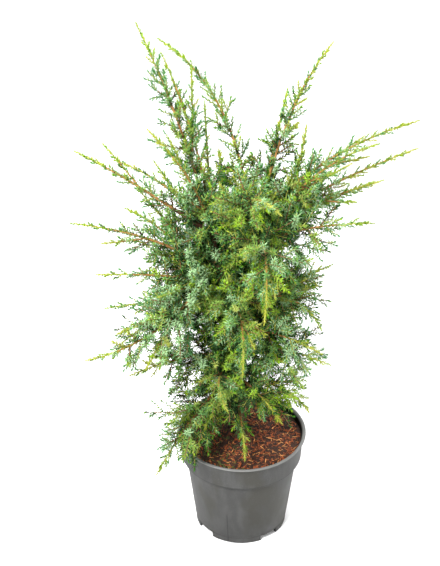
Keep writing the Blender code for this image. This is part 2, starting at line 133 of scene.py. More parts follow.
# Limbs, by the same rule as the solids
GAP = 0.3 * MM
TRUNK_RADIUS = 8 * MM
TRUNK_TIP_RADIUS = 4.4 * MM
ROOT_FLARE = 12.5 * MM
FLARE_HEIGHT = 14 * MM
SECOND_RADIUS = 5.8 * MM
SECOND_TIP_RADIUS = 4.0 * MM
BOUGH_RADIUS = 3.3 * MM
STEM_RADIUS = 2.2 * MM
STEM_TIP_RADIUS = 0.9 * MM
STEM_FOOT = 5 * MM
PATH_STEPS = 24

# Points closer than this in a tube are one point
SEAM_GAP = 0.002 * MM

GOLDEN_ANGLE = 137.5

# Trunk and second stem: heading, turn, rise, rise at the tip, length, how late it bends
TRUNK_ARC = (165, 0, 81, 84, 344 * MM, 1.0)
SECOND_ARC = (25, 0, 70, 71, 145 * MM, 1.0)
FORK_HEIGHT = 360 * MM
TRUNK_STATIONS = 120
SECOND_STATIONS = 60

# Limbs by group: parent, start height (mm), heading, turn, rise, rise at the tip,
# length (mm), how late it bends, length of bare bough (mm)
LIMBS = {
    "left_high": {
        "left_leader": ("trunk", 503, 130, 0, 66, 47, 298, 1.3, 70),
        "left_inner_leader": ("trunk", 478, 107, 50, 70, 64, 275, 1.6, 60),
        "left_short": ("trunk", 490, 222, -50, 75, 46, 200, 1.5, 0),
        "left_high_back": ("trunk", 474, 128, 50, 52, 20, 187, 0.7, 55),
        "left_high": ("trunk", 496, 191, -3, 41, 33, 233, 2.5, 70),
    },
    "left_low": {
        "left_middle": ("trunk", 420, 195, -7, 68, 12, 238, 0.5, 55),
        "left_middle_low": ("trunk", 400, 220, -30, 70, 5, 204, 0.4, 50),
        "left_low_back": ("trunk", 348, 157, 17, 43, -18, 181, 0.4, 0),
        "left_low_front": ("trunk", 451, 240, -29, -25, 9, 251, 1.3, 60),
        "left_lowest": ("trunk", 300, 214, 2, 23, 0, 169, 0.8, 0),
        "left_skirt": ("trunk", 255, 224, -1, 15, -50, 180, 0.4, 0),
        "left_skirt_front": ("trunk", 232, 236, 2, 30, -64, 124, 0.75, 0),
    },
    "right_high": {
        "right_leader": ("second_stem", 490, 28, 4, 75, 42, 287, 2.4, 70),
        "arching_leader": ("second_stem", 479, 106, 50, 76, 23, 318, 1.4, 90),
        "right_inner": ("second_stem", 434, 6, 3, 37, 84, 240, 0.5, 0),
        "right_high_outer": ("second_stem", 462, -11, 31, 76, 6, 317, 0.9, 60),
        "right_high": ("second_stem", 446, -11, -9, 63, 26, 284, 1.8, 70),
        "right_middle_outer": ("second_stem", 488, 16, -2, 44, 15, 256, 0.4, 55),
    },
    "right_low": {
        "right_middle": ("second_stem", 474, 17, -49, 34, 31, 207, 0.6, 50),
        "right_low_outer": ("second_stem", 432, -47, 46, 76, 1, 238, 0.7, 55),
        "right_low": ("trunk", 335, 17, 6, 54, 12, 181, 0.5, 0),
        "right_lower": ("trunk", 345, -17, -26, 60, -55, 195, 1.7, 0),
        "right_lowest": ("trunk", 290, -39, 19, 76, -14, 174, 0.5, 0),
        "right_low_front": ("trunk", 322, -48, 28, 60, -24, 172, 0.8, 0),
        "right_skirt": ("trunk", 235, -10, -16, 52, -53, 127, 0.8, 0),
        "right_skirt_front": ("trunk", 262, -58, 26, 25, -52, 112, 0.8, 0),
    },
    "front": {
        "front_hanging": ("trunk", 400, -65, -31, 33, -45, 189, 1.0, 0),
        "front_skirt": ("trunk", 225, -76, -12, -25, -30, 100, 1.0, 0),
        "front_right": ("second_stem", 468, -71, -27, 70, -45, 228, 0.7, 0),
        "front_left_low": ("trunk", 275, -118, 50, 35, -8, 145, 0.7, 0),
        "front_high": ("second_stem", 452, -105, 50, 72, -10, 246, 2.0, 0),
    },
    "back": {
        "back_high_left": ("trunk", 458, 99, -7, 59, 24, 233, 1.0, 50),
        "back_high_right": ("second_stem", 478, 69, 7, 45, 29, 231, 1.9, 50),
        "back_middle": ("trunk", 405, 86, 8, 58, 4, 248, 0.7, 50),
        "back_middle_left": ("trunk", 376, 130, 6, 54, -4, 226, 0.7, 0),
        "back_middle_right": ("second_stem", 405, 48, 6, 56, -1, 237, 0.7, 0),
        "back_low_left": ("trunk", 318, 110, -9, 46, -18, 207, 0.8, 0),
        "back_low_right": ("trunk", 310, 54, 10, 44, -20, 201, 0.8, 0),
        "back_skirt": ("trunk", 245, 94, 10, 28, -46, 163, 0.8, 0),
    },
}

# How much sooner the limbs of a group grow long side shoots than the leaders do, and the
# slot of the group's needles
GROUPS = {
    "left_high": (0.95, "needles_mid"), "left_low": (1.8, "needles_mid"),
    "right_high": (0.9, "needles_fresh"), "right_low": (2.7, "needles_fresh"),
    "front": (1.8, "needles_tip"), "back": (1.6, "needles_blue"),
    "centre": (None, "needles_mid"),
}
RULE_SEED = 41

# Shoots
SHOOT_BEND = 0.35
TUBE_POINTS = 4
TUBE_SIDES = {"trunk": 16, "bough": 10, "twig": 6, "brown": 4, "young": 3}

# How close together the bark's ridges are, which run mostly upright
RIDGES = (160, 160, 26)

# Needles: where they are widest and how flat; how closed they are at a shoot's end and
# over what length they open; turn from whorl to whorl; drifts of lean and turn
NEEDLE_BELLY = 0.26
NEEDLE_FLATNESS = 0.55
END_OPENING = 0.35
END_LENGTH = 9 * MM
WHORL_TURN = 60
NEEDLE_LEAN_DRIFT = 9
NEEDLE_TURN_DRIFT = 16
NEEDLE_SIZES = (0.8, 1.15)

# Inner needles of a bud: lean and size as a share of the outer ones
INNER_LEAN = 0.45
INNER_SIZE = 0.8

# Share of needles a step lighter, and a step darker, than their spray
LIGHTER_SHARE = 0.14
DARKER_SHARE = 0.12

# Shades of the needles
SHADES = ("deep", "mid", "blue", "fresh", "tip", "lime")
DEEP, MID, BLUE, FRESH, TIP, LIME = range(6)

# How far the flat side of each shade's needles is covered with white bloom
BLOOMS = (0.03, 0.22, 0.60, 0.15, 0.20, 0.10)

# Shade of the lighter needles in a spray of each shade, and in its buds
LIGHTER = (MID, FRESH, BLUE, TIP, TIP, LIME)

# Shade of the needles in the shadow of their neighbours
DARKER = (DEEP, DEEP, MID, MID, FRESH, FRESH)

# Share of each shade at these distances from a limb's tip
SHADE_DISTANCES = (0 * MM, 45 * MM, 90 * MM, 150 * MM)
SHADE_SHARES = (
    (0.00, 0.06, 0.20, 0.44),
    (0.10, 0.26, 0.30, 0.22),
    (0.00, 0.14, 0.28, 0.24),
    (0.50, 0.40, 0.20, 0.10),
    (0.40, 0.14, 0.06, 0.04),
    (0.00, 0.02, 0.05, 0.05),
)

# Reach and pitch of the side shoots at these distances from a limb's tip
REACH_DISTANCES = (12 * MM, 45 * MM, 65 * MM, 100 * MM, 140 * MM, 200 * MM)
REACHES = (3 * MM, 8 * MM, 11 * MM, 18 * MM, 36 * MM, 60 * MM)
PITCHES = (6 * MM, 6 * MM, 8 * MM, 8 * MM, 7.5 * MM, 7 * MM)

# Leaders bear plump sprigs instead, well apart, and hardly any fine shoots
LEADERS = ("left_leader", "left_inner_leader", "arching_leader", "right_leader", "right_inner")
LEADER_REACHES = (3 * MM, 7 * MM, 14 * MM, 26 * MM, 30 * MM, 46 * MM)
LEADER_PITCHES = (7 * MM, 7 * MM, 7 * MM, 7 * MM, 7 * MM, 8 * MM)

# Ageing beyond this makes the shoots longer but no darker
OLDEST_SHADE = 2.2

# Distances from a limb's tip between which its side shoots go from close to open
OPENING = (80 * MM, 160 * MM)
LEADER_OPENING = (150 * MM, 300 * MM)

# Limbs that differ in this from their group, and share of the pitch between their shoots
LIMB_AGEINGS = {
    "left_skirt": (2.3, 0.55), "left_skirt_front": (1.0, 1.2), "right_skirt": (2.8, 0.7),
    "right_leader": (0.8, 0.65), "left_leader": (1.1, 0.85), "arching_leader": (0.7, 0.65),
    "right_inner": (1.25, 0.7), "left_middle_low": (1.5, 1.0),
    "left_inner_leader": (0.7, 1.35), "left_middle": (1.25, 1.25), "left_lowest": (2.3, 0.9),
    "back_high_left": (0.4, 1.8), "back_high_right": (0.35, 1.5),
    "right_high_outer": (0.78, 0.85), "right_high": (0.95, 0.85),
    "right_middle_outer": (0.85, 0.85), "right_middle": (1.3, 1.0),
    "right_low_outer": (1.9, 1.0), "right_low": (2.7, 0.85), "right_lowest": (3.2, 0.8),
}

# Companions: slender shoots beside a limb, one for each step of its length beyond the
# first stretch; where they start, how far they reach, how much they lean, their drift
# about the golden angle, pull to the limb and pitch as a share of the limb's own
COMPANION_FREE = 100 * MM
COMPANION_STEP = 60 * MM
COMPANION_SPAN = (0.15, 0.6)
COMPANION_SHARE = (0.5, 0.75)
COMPANION_LEAN = (16, 32)
COMPANION_RADIUS = 1.2 * MM
COMPANION_DRIFT = 40
COMPANION_PULL = 0.6
COMPANION_CROWDING = 1.2
FIRST_COMPANION_SPRIG = 14 * MM

# Limbs that have another number of them than their length gives
COMPANIONS = {
    "right_leader": 0, "arching_leader": 0, "right_inner": 0, "left_inner_leader": 0,
    "left_leader": 1, "left_high": 1, "left_high_back": 1, "right_high_outer": 2,
    "right_high": 2, "right_middle_outer": 1, "front_high": 2, "front_hanging": 2,
    "right_middle": 1, "right_low_outer": 0, "right_low": 4, "right_lower": 3,
    "back_high_left": 0, "back_high_right": 0, "left_skirt": 0,
}

# How far a limb is young and yellow-green all along
BRIGHT_LIMBS = {
    "left_low_front": 0.25, "front_right": 0.4, "front_hanging": 0.25, "front_left_low": 0.5,
    "front_high": 0.25,
    "left_skirt": 0.3, "right_skirt": 0.4, "right_high_outer": 0.3, "right_middle_outer": 0.3,
}

# Habits of needles: share of the full pitch, angle to the shoot, share of the full
# length, share of tufts with an open bud
LEADING_HABIT = (0.85, 46, 0.76, 0.35)
SPRIG_HABIT = (0.68, 54, 0.84, 0.15)
CROWN_HABIT = (0.86, 62, 1.00, 0.0)
BARE_HABIT = (1.8, 60, 0.85, 0.2)

# Distances from the pot's axis and heights between which the deep shade, partly painted shade of
# the crown's inside, gives way
INNER_CROWN = (50 * MM, 100 * MM)
UPPER_CROWN = (470 * MM, 540 * MM)

# Long shoots: length of the green tip and of the leafy end, and the share of the shoot
# that each takes at most; share of shoots with a yellow-green tip, and of the needles
# that are left on bare wood
GREEN_TIP = 45 * MM
GREEN_SHARE = 0.4
LEAFY_END = 120 * MM
LEAFY_SHARE = 0.6
YELLOW_TIPS = 0.4
BARE_FULLNESS = 0.7

# Side shoots: first and last place on a limb, and how far each drifts from the rule
FIRST_SPRIG = 12 * MM
LAST_SPRIG = 12 * MM
AROUND_DRIFT = 25
REACH_DRIFT = (0.65, 1.2)
LEAN_DRIFT = 8
PITCH_DRIFT = (0.7, 1.3)

# Their lean at a limb's tip, for each millimetre further in, and at most
TIP_LEAN = 26
LEAN_PER_MM = 0.18
WIDEST_LEAN = 56

# Side shoots older and longer than this have brown bark, and needles at the foot in the deep
# shade, a painted shade
OLD_AGE = 110 * MM
OLD_REACH = 25 * MM
SHADED_SHARE = 0.4
OLD_RADIUS = 1.1 * MM
YOUNG_RADIUS = 0.85 * MM
SIDE_TIP_RADIUS = 0.55 * MM

# Fine shoots: least reach of a side shoot that bears them, their first and last place,
# reach, lean and pitch, and the share with their side shoot's shade
BRANCHING_REACH = 26 * MM
FIRST_FINE = 9 * MM
LAST_FINE = 0.85
FINE_REACH = 24 * MM
FINE_SHARE = (0.4, 0.75)
FINE_FOOT = 4 * MM
FINE_AROUND = 60
FINE_LEAN = (38, 54)
FINE_PITCH = (8, 12.5)
FINE_SAME_SHADE = 0.6
FINE_RADIUS = 0.65 * MM
FINE_TIP_RADIUS = 0.45 * MM

# How far the shoots stay from the pot and the soil
COMPANION_CLEARANCE = 10 * MM
SIDE_CLEARANCE = 8 * MM
FINE_CLEARANCE = 6 * MM

# Shoots on the trunk and the second stem: stretches, reach by height, pitch and age
CENTRE_STRETCHES = {"trunk": (48 * MM, 350 * MM), "second_stem": (8 * MM, 145 * MM)}
CENTRE_HEIGHTS = (190 * MM, 230 * MM, 300 * MM, 400 * MM, 500 * MM)
CENTRE_REACHES = (40 * MM, 75 * MM, 90 * MM, 75 * MM, 45 * MM)
CENTRE_PITCH = 3.4 * MM
# The centre shoots count as this old, which often gives them the deep shade: partly painted shade
# of the crown's middle
CENTRE_AGE = 165 * MM
CENTRE_LEAN = (45, 75)
CENTRE_PULL = (-0.4, 0.5)
CENTRE_DRIFT = (0.6, 1.2)

# Photo's camera, in metres and degrees
CAMERA_PLACE = (-0.0321, -1.9619, 1.7125)
CAMERA_DOWNWARD = 33.314
CAMERA_LENS = 106.96
SENSOR = 36.0
STAGE_SIZE = 60.0

# The lights fade out on the floor beyond this distance, where the floor glows instead
GLOW_START = 1.7
GLOW = 0.95

# Area lights with their place, size and power, and where they aim
LIGHTS = {
    "key": ((-1.0, -1.7, 2.4), 0.8, 156),
    "fill": ((1.6, -1.2, 1.5), 1.4, 30),
    "top": ((0.2, 1.1, 3.0), 2.6, 150),
}
LIGHT_AIM = (0, 0, 0.35)
SURROUNDINGS = 0.10


def linear(red, green, blue):
    """Colour as Blender stores it, from the 0 to 255 values that a screen shows."""
    shares = [value / 255 for value in (red, green, blue)]
    return tuple(
        share / 12.92 if share <= 0.04045 else ((share + 0.055) / 1.055) ** 2.4
        for share in shares
    )


def colour_property(name, description, *colour):
    """Colour that a user would change, given by the 0 to 255 values that a screen shows."""
    return bpy.props.FloatVectorProperty(
        name=name, description=description, default=linear(*colour), subtype="COLOR", size=3,
    )


def length_property(name, description, length):
    """Length that a user would change."""
    return bpy.props.FloatProperty(
        name=name, description=description, default=length, unit="LENGTH",
    )


class JuniperSizes(bpy.types.PropertyGroup):
    """Sizes that a user would change"""
    needle_length: length_property("Needle length", "Length of a full-grown needle", 9.6 * MM)
    needle_width: length_property("Needle width", "Width of a needle at its belly", 1.85 * MM)
    whorl_pitch: length_property(
        "Whorl pitch", "Distance between whorls of three needles", 4.0 * MM,
    )
    bark_relief: length_property(
        "Bark relief", "Depth of the bark's ridges on the trunk", 0.8 * MM,
    )
    chip_count: bpy.props.IntProperty(
        name="Bark chips", description="Number of chips on the soil", default=2400, min=0,
    )


class JuniperColours(bpy.types.PropertyGroup):
    """Colours that a user would change"""
    # Deep needles: partly old needles, partly painted shade of the crown's inside, near the axis
    # and low down
    needles_deep: colour_property("Deep needles", "Old needles inside the crown", 18, 56, 2)
    needles_mid: colour_property("Mid needles", "Most of the needles", 52, 114, 8)
    needles_blue: colour_property(
        "Blue needles", "Needles with a blue-white bloom", 70, 124, 68,
    )
    needles_fresh: colour_property("Fresh needles", "This year's needles", 108, 144, 20)
    needles_tip: colour_property(
        "Tip needles", "Yellow-green needles on young tips", 148, 156, 44,
    )
    needles_lime: colour_property(
        "Lime needles", "New growth in the middle of the crown", 138, 176, 18,
    )
    bloom: colour_property(
        "Bloom", "Waxy blue-white bloom on the flat side of the needles", 182, 214, 160,
    )
    bark: colour_property("Bark", "Old bark on the trunk and boughs", 96, 62, 42)
    twig: colour_property("Twig", "Orange-brown bark of the long shoots", 162, 114, 60)
    old_twig: colour_property(
        "Old twig", "Dull bark of the twigs inside the crown", 132, 96, 56,
    )
    young_twig: colour_property("Young twig", "Green bark near the tips", 160, 158, 64)
    pot: colour_property("Pot", "Dusty recycled plastic", 68, 68, 67)
    soil: colour_property("Soil", "Moist peat between the chips", 56, 30, 14)


class Paint:
    """A node socket that adds its own maths nodes when Python expressions use it."""

    def __init__(self, tree, socket=None):
        self.tree = tree
        self.socket = socket

    def node(self, kind, settings=None, inputs=None, output=0):
        """Adds a node with these settings, and these values or links on its sockets."""
        made = self.tree.nodes.new(kind)
        for key, value in (settings or {}).items():
            setattr(made, key, value)
        for key, value in (inputs or {}).items():
            if isinstance(value, Paint):
                self.tree.links.new(value.socket, made.inputs[key])
            else:
                made.inputs[key].default_value = value
        return Paint(self.tree, made.outputs[output])

    def maths(self, operation, first, second):
        return self.node("ShaderNodeMath", {"operation": operation}, {0: first, 1: second})

    def __add__(self, other):
        return self.maths("ADD", self, other)

    def __radd__(self, other):
        return self.maths("ADD", other, self)

    def __sub__(self, other):
        return self.maths("SUBTRACT", self, other)

    def __rsub__(self, other):
        return self.maths("SUBTRACT", other, self)

    def __mul__(self, other):
        return self.maths("MULTIPLY", self, other)

    def __rmul__(self, other):
        return self.maths("MULTIPLY", other, self)

    def __truediv__(self, other):
        return self.maths("DIVIDE", self, other)

    def __rtruediv__(self, other):
        return self.maths("DIVIDE", other, self)

    def clamped(self):
        return self.node("ShaderNodeClamp", None, {0: self, 1: 0.0, 2: 1.0})

    def between(self, first, second):
        """Mixes two colours by this share."""
        return self.node(
            "ShaderNodeMix", {"data_type": "RGBA"}, {0: self, 6: first, 7: second}, 2,
        )

    def tones(self, colour, dark, light):
        """Mixes a darker and a lighter shade of a colour by this share."""
        return self.between(opaque(colour, dark), opaque(colour, light))

    def axis(self, number):
        """One of the three numbers of a place."""
        return self.node("ShaderNodeSeparateXYZ", None, {0: self}, number)


def opaque(colour, shade=1.0):
    """Colour for a socket, made lighter or darker."""
    return (colour[0] * shade, colour[1] * shade, colour[2] * shade, 1.0)


def new_material(name):
    """Material with its shader, its paint and the place on the object."""
    material = bpy.data.materials.new(name)
    material.use_nodes = True
    tree = material.node_tree
    shader = tree.nodes["Principled BSDF"]
    paint = Paint(tree)
    place = paint.node("ShaderNodeTexCoord", None, None, 3)
    return material, shader, paint, place


def feed(shader, name, value):
    """Links a value that changes over the surface to a socket of the shader."""
    shader.id_data.links.new(value.socket, shader.inputs[name])


def speckle(paint, place, scale, detail, stretch=None):
    """Noise between 0 and 1 in the object's own space; stretch draws it out."""
    if stretch is not None:
        place = paint.node("ShaderNodeMapping", None, {0: place, 3: stretch})
    return paint.node(
        "ShaderNodeTexNoise", None, {"Vector": place, "Scale": scale, "Detail": detail},
    )


def contrast(*noises, middle=0.5):
    """Share between two tones, from noises and how strongly each of them counts."""
    share = middle
    for value, strength in noises:
        share = (value - 0.5) * strength + share
    return share.clamped()


def band(distance, width):
    """1 on a line, falling to 0 at this width beside it."""
    return (1.0 - distance * distance * (1.0 / width ** 2)).clamped()


def bumped(paint, shader, height, strength, distance):
    """Relief from a height between 0 and 1."""
    bump = paint.node(
        "ShaderNodeBump", None,
        {"Strength": strength, "Distance": distance, "Height": height},
    )
    feed(shader, "Normal", bump)


def needle_material(name, colour):
    """Waxy green with a soft drift of tone from shoot to shoot."""
    material, shader, paint, place = new_material(name)
    drift = speckle(paint, place, 34.0, 2.0)
    fine = speckle(paint, place, 420.0, 2.0)
    feed(shader, "Base Color", contrast((drift, 1.7), (fine, 0.9)).tones(colour, 0.78, 1.2))
    feed(shader, "Roughness", 0.42 + fine * 0.2)
    shader.inputs["Specular IOR Level"].default_value = 0.18
    return material


def fibre_material(name, colour, dark, scale, detail, strength, light, roughness, bump, relief):
    """Bark of a twig or of a chip: one grain gives its tone, roughness and relief."""
    material, shader, paint, place = new_material(name)
    grain = speckle(paint, place, scale, detail)
    feed(shader, "Base Color", contrast((grain, strength)).tones(colour, dark, light))
    feed(shader, "Roughness", roughness + grain * 0.25)
    bumped(paint, shader, grain, bump, relief)
    return material


def bark_material(colour):
    """Reddish brown bark that peels in long upright strips."""
    material, shader, paint, place = new_material("juniper_bark")
    strips = speckle(paint, place, 150.0, 5.0, (1.0, 1.0, 0.16))
    flakes = speckle(paint, place, 420.0, 4.0, (1.0, 1.0, 0.3))
    share = contrast((strips, 2.4), (flakes, 1.2), middle=0.45)
    tone = share.tones(colour, 0.42, 1.35)
    peeled = ((flakes - 0.62) * 7.0).clamped()
    pale = [min(1, part * paler) for part, paler in zip(colour, (3.2, 3.4, 3.6))]
    feed(shader, "Base Color", peeled.between(tone, opaque(pale)))
    feed(shader, "Roughness", 0.72 + flakes * 0.2)
    bumped(paint, shader, strips + flakes * 0.5, 0.8, 0.9 * MM)
    return material


def pot_material(colour):
    """Recycled black plastic gone grey with dust, stained, with two mould seams; a painted shadow
    under the collar, a painted highlight on the lip and painted shade on the inner wall.
    """
    material, shader, paint, place = new_material("dusty_pot_plastic")
    clouds = speckle(paint, place, 24.0, 5.0)
    stains = speckle(paint, place, 17.0, 4.0, (1.0, 1.0, 0.55))
    grains = speckle(paint, place, 620.0, 3.0)
    scuffs = speckle(paint, place, 90.0, 6.0, (1.0, 1.0, 0.25))
    body = contrast((clouds, 3.0), (scuffs, 2.2), (grains, 1.2)).tones(colour, 0.84, 1.16)
    damp = ((stains - 0.5) * 9.0).clamped() * 0.9
    olive = [part * duller for part, duller in zip(colour, (0.86, 0.84, 0.74))]
    stained = damp.between(body, opaque(olive, 0.88))
    along_x, along_y, height = [place.axis(number) for number in range(3)]
    turn = math.radians(SEAM_TURN)
    seam = band(along_x * math.cos(turn) + along_y * math.sin(turn), SEAM_WIDTH)
    seam = seam * ((SEAM_TOP - height) / SEAM_FADE).clamped()
    line = band(height - FOOT_LINE_HEIGHT, FOOT_LINE_WIDTH) * 0.6
    # Painted shadow: a darker band just under the collar's step, mixed in with the mould marks
    shadow = band(height - COLLAR_SHADOW_HEIGHT, COLLAR_SHADOW_WIDTH) * 0.7
    marks_and_shadow = (seam + line + shadow).clamped() * 0.8
    marked_and_shaded = marks_and_shadow.between(stained, opaque(colour, 0.45))
    specks = ((grains - 0.64) * 12.0).clamped() * 0.5
    dusty = specks.between(marked_and_shaded, opaque(colour, 1.5))
    # Painted highlight: the top 2.6 mm of the pot, its rolled lip, is painted much lighter,
    # mottled by the clouds
    lip = ((height - (POT_HEIGHT - 2.6 * MM)) / (1.0 * MM)).clamped() * (0.6 + clouds * 0.6)
    with_lip_highlight = lip.clamped().between(dusty, opaque(colour, 2.8))
    # Painted shade: the inner wall between the soil and the lip is painted almost black
    inner_edge = COLLAR_TOP_RADIUS - 0.6 * WALL
    inside = inner_edge ** 2 - along_x * along_x - along_y * along_y
    inside = (inside * (5.0 / (20 * MM) ** 2)).clamped()
    inside = inside * ((height - SOIL_HEIGHT) / (1 * MM)).clamped()
    feed(shader, "Base Color", inside.between(with_lip_highlight, opaque(colour, 0.09)))
    feed(shader, "Roughness", 0.46 + clouds * 0.14 + grains * 0.1)
    shader.inputs["Specular IOR Level"].default_value = 0.12
    bumped(paint, shader, scuffs * 0.6 + grains * 0.6, 0.34, 0.3 * MM)
    return material


def soil_material(colour):
    """Moist dark peat, lumpy and crumbly."""
    material, shader, paint, place = new_material("moist_peat")
    lumps = speckle(paint, place, 95.0, 6.0)
    crumbs = speckle(paint, place, 520.0, 4.0)
    share = contrast((lumps, 1.6), (crumbs, 1.6), middle=0.45)
    feed(shader, "Base Color", share.tones(colour, 0.35, 1.5))
    feed(shader, "Roughness", 0.78 + crumbs * 0.2)
    bumped(paint, shader, lumps + crumbs, 0.9, 1.6 * MM)
    return material


def deselect_all():
    """Leaves edit mode and deselects everything."""
    if bpy.context.mode != "OBJECT":
        bpy.ops.object.mode_set(mode="OBJECT")
    bpy.ops.object.select_all(action="DESELECT")


def make_active(piece):
    """Selects one object alone and makes it the active one."""
    deselect_all()
    piece.select_set(True)
    bpy.context.view_layer.objects.active = piece


def edit_all():
    """Enters edit mode with everything selected."""
    bpy.ops.object.mode_set(mode="EDIT")
    bpy.ops.mesh.select_all(action="SELECT")


def face_outwards():
    """Turns all faces outwards and leaves edit mode."""
    bpy.ops.mesh.select_all(action="SELECT")
    bpy.ops.mesh.normals_make_consistent(inside=False)
    bpy.ops.object.mode_set(mode="OBJECT")


def settle(piece):
    """Puts the object's place into its mesh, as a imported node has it."""
    make_active(piece)
    bpy.ops.object.transform_apply(location=True, rotation=True, scale=True)


def give(piece, *materials):
    """Puts materials into the object's slots, in this order."""
    for material in materials:
        piece.data.materials.append(material)


def dress(piece, slot, *nodes):
    """Says what the piece rides on and the nodes that it stands for; the slot is not used."""
    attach(piece, ROOT_BODY)
    if nodes:
        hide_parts(*nodes)


def turned(name, profile, sides):
    """Solid of revolution: a ring extruded and scaled from step to step of a profile."""
    deselect_all()
    radius, height = profile[0]
    bpy.ops.mesh.primitive_circle_add(
        vertices=sides, radius=radius, fill_type="NGON", location=(0, 0, height),
    )
    piece = bpy.context.object
    piece.name = name
    edit_all()
    for next_radius, next_height in profile[1:]:
        bpy.ops.mesh.extrude_region_move(
            TRANSFORM_OT_translate={"value": (0, 0, next_height - height)},
        )
        ratio = next_radius / radius
        bpy.ops.transform.resize(
            value=(ratio, ratio, 1), center_override=(0, 0, next_height),
        )
        radius, height = next_radius, next_height
    face_outwards()
    settle(piece)
    return piece


def arc_points(centre, radius, start, end, count):
    """Points of a round corner of a profile, angles in degrees."""
    angles = [math.radians(start + (end - start) * i / count) for i in range(count + 1)]
    return [
        (centre[0] + radius * math.cos(angle), centre[1] + radius * math.sin(angle))
        for angle in angles
    ]


def build_pot(colours):
    """The pot as one smooth shell: rolled lip, collar, step, tapered body, notched foot."""
    floor_top = FLOOR_RECESS + FLOOR_THICKNESS
    lip = 1.5 * MM
    profile = [(POLE_RADIUS, floor_top), (BODY_FOOT_RADIUS - 1.2 * MM, floor_top)]
    profile += [
        (BODY_TOP_RADIUS - WALL, COLLAR_FOOT_HEIGHT - 4.6 * MM),
        (COLLAR_FOOT_RADIUS - WALL, COLLAR_FOOT_HEIGHT - 0.9 * MM),
        (COLLAR_TOP_RADIUS - WALL, POT_HEIGHT - 4.6 * MM),
        (COLLAR_TOP_RADIUS - 0.6 * MM, POT_HEIGHT - 1.4 * MM),
    ]
    profile += arc_points((COLLAR_TOP_RADIUS + 1.4 * MM, POT_HEIGHT - lip), lip, 150, 92, 4)
    profile += arc_points((RIM_RADIUS - lip, POT_HEIGHT - lip), lip, 84, -70, 9)
    profile += arc_points(
        (COLLAR_TOP_RADIUS + 0.8 * MM, POT_HEIGHT - 4.4 * MM), 0.8 * MM, 90, 180, 3,
    )
    profile += arc_points(
        (COLLAR_FOOT_RADIUS - 1.6 * MM, COLLAR_FOOT_HEIGHT - 0.6 * MM), 1.6 * MM, 0, -60, 5,
    )
    profile += arc_points(
        (BODY_TOP_RADIUS + 1.5 * MM, COLLAR_FOOT_HEIGHT - 5.6 * MM), 1.5 * MM, 110, 180, 4,
    )
    profile += [
        (BODY_FOOT_RADIUS + 1.2 * MM, floor_top + 0.9 * MM),
        (BODY_FOOT_RADIUS + 0.9 * MM, floor_top + 0.5 * MM),
        (BODY_FOOT_RADIUS + 0.5 * MM, floor_top),
    ]
    profile += arc_points((BODY_FOOT_RADIUS - 1.4 * MM, 1.4 * MM), 1.4 * MM, 0, -90, 4)
    inner_foot = BODY_FOOT_RADIUS - 1.4 * MM - FOOT_RING
    profile += [
        (inner_foot, 0),
        (inner_foot - 1.0 * MM, FLOOR_RECESS),
        (PAD_RADIUS + 1.4 * MM, FLOOR_RECESS),
        (PAD_RADIUS, 0),
        (POLE_RADIUS, 0),
    ]
    pot = turned("pot_shell", profile, POT_SIDES)
    for number, heading in enumerate(NOTCH_HEADINGS):
        side = math.radians(heading)
        middle = BODY_FOOT_RADIUS - FOOT_RING / 2
        deselect_all()
        bpy.ops.mesh.primitive_cube_add(
            size=1.0, location=(middle * math.cos(side), middle * math.sin(side), 0),
            rotation=(0, 0, side), scale=(FOOT_RING + 11 * MM, NOTCH_WIDTH, 2 * NOTCH_HEIGHT),
        )
        notch = bpy.context.object
        bpy.ops.object.transform_apply(location=False, rotation=False, scale=True)
        corners = notch.modifiers.new("round_corners", "BEVEL")
        corners.width = 2.0 * MM
        corners.segments = 3
        bpy.ops.object.modifier_apply(modifier=corners.name)
        make_active(pot)
        cut = pot.modifiers.new("notch_%d" % number, "BOOLEAN")
        cut.operation = "DIFFERENCE"
        cut.solver = "EXACT"
        cut.object = notch
        bpy.ops.object.modifier_apply(modifier=cut.name)
        bpy.data.objects.remove(notch, do_unlink=True)
    make_active(pot)
    bpy.ops.object.shade_smooth_by_angle(angle=math.radians(35))
    give(pot, pot_material(colours.pot))
    dress(pot, "pot", "pot")


def build_soil(colours, sizes):
    """Rough peat surface with bark chips and pale slivers lying on it."""
    profile = [(POLE_RADIUS, SOIL_HEIGHT)]
    for ring in range(1, SOIL_RINGS + 1):
        profile.append((SOIL_RADIUS * ring / SOIL_RINGS, SOIL_HEIGHT))
    profile.append((SOIL_RADIUS - 1 * MM, SOIL_HEIGHT - SOIL_DEPTH))
    profile.append((POLE_RADIUS, SOIL_HEIGHT - SOIL_DEPTH))
    soil = turned("soil_surface", profile, SOIL_SIDES)
    for vertex in soil.data.vertices:
        across = math.hypot(vertex.co.x, vertex.co.y)
        if vertex.co.z > SOIL_HEIGHT - 1 * MM and ROOT_FLARE < across:
            bumps = [height * noise.noise(vertex.co * scale) for height, scale in SOIL_BUMPS]
            vertex.co.z += sum(bumps) + 0.4 * MM
    make_active(soil)
    bpy.ops.object.shade_smooth()
    give(soil, soil_material(colours.soil))
    dress(soil, "soil", "soil")
    scatter_chips(sizes.chip_count)


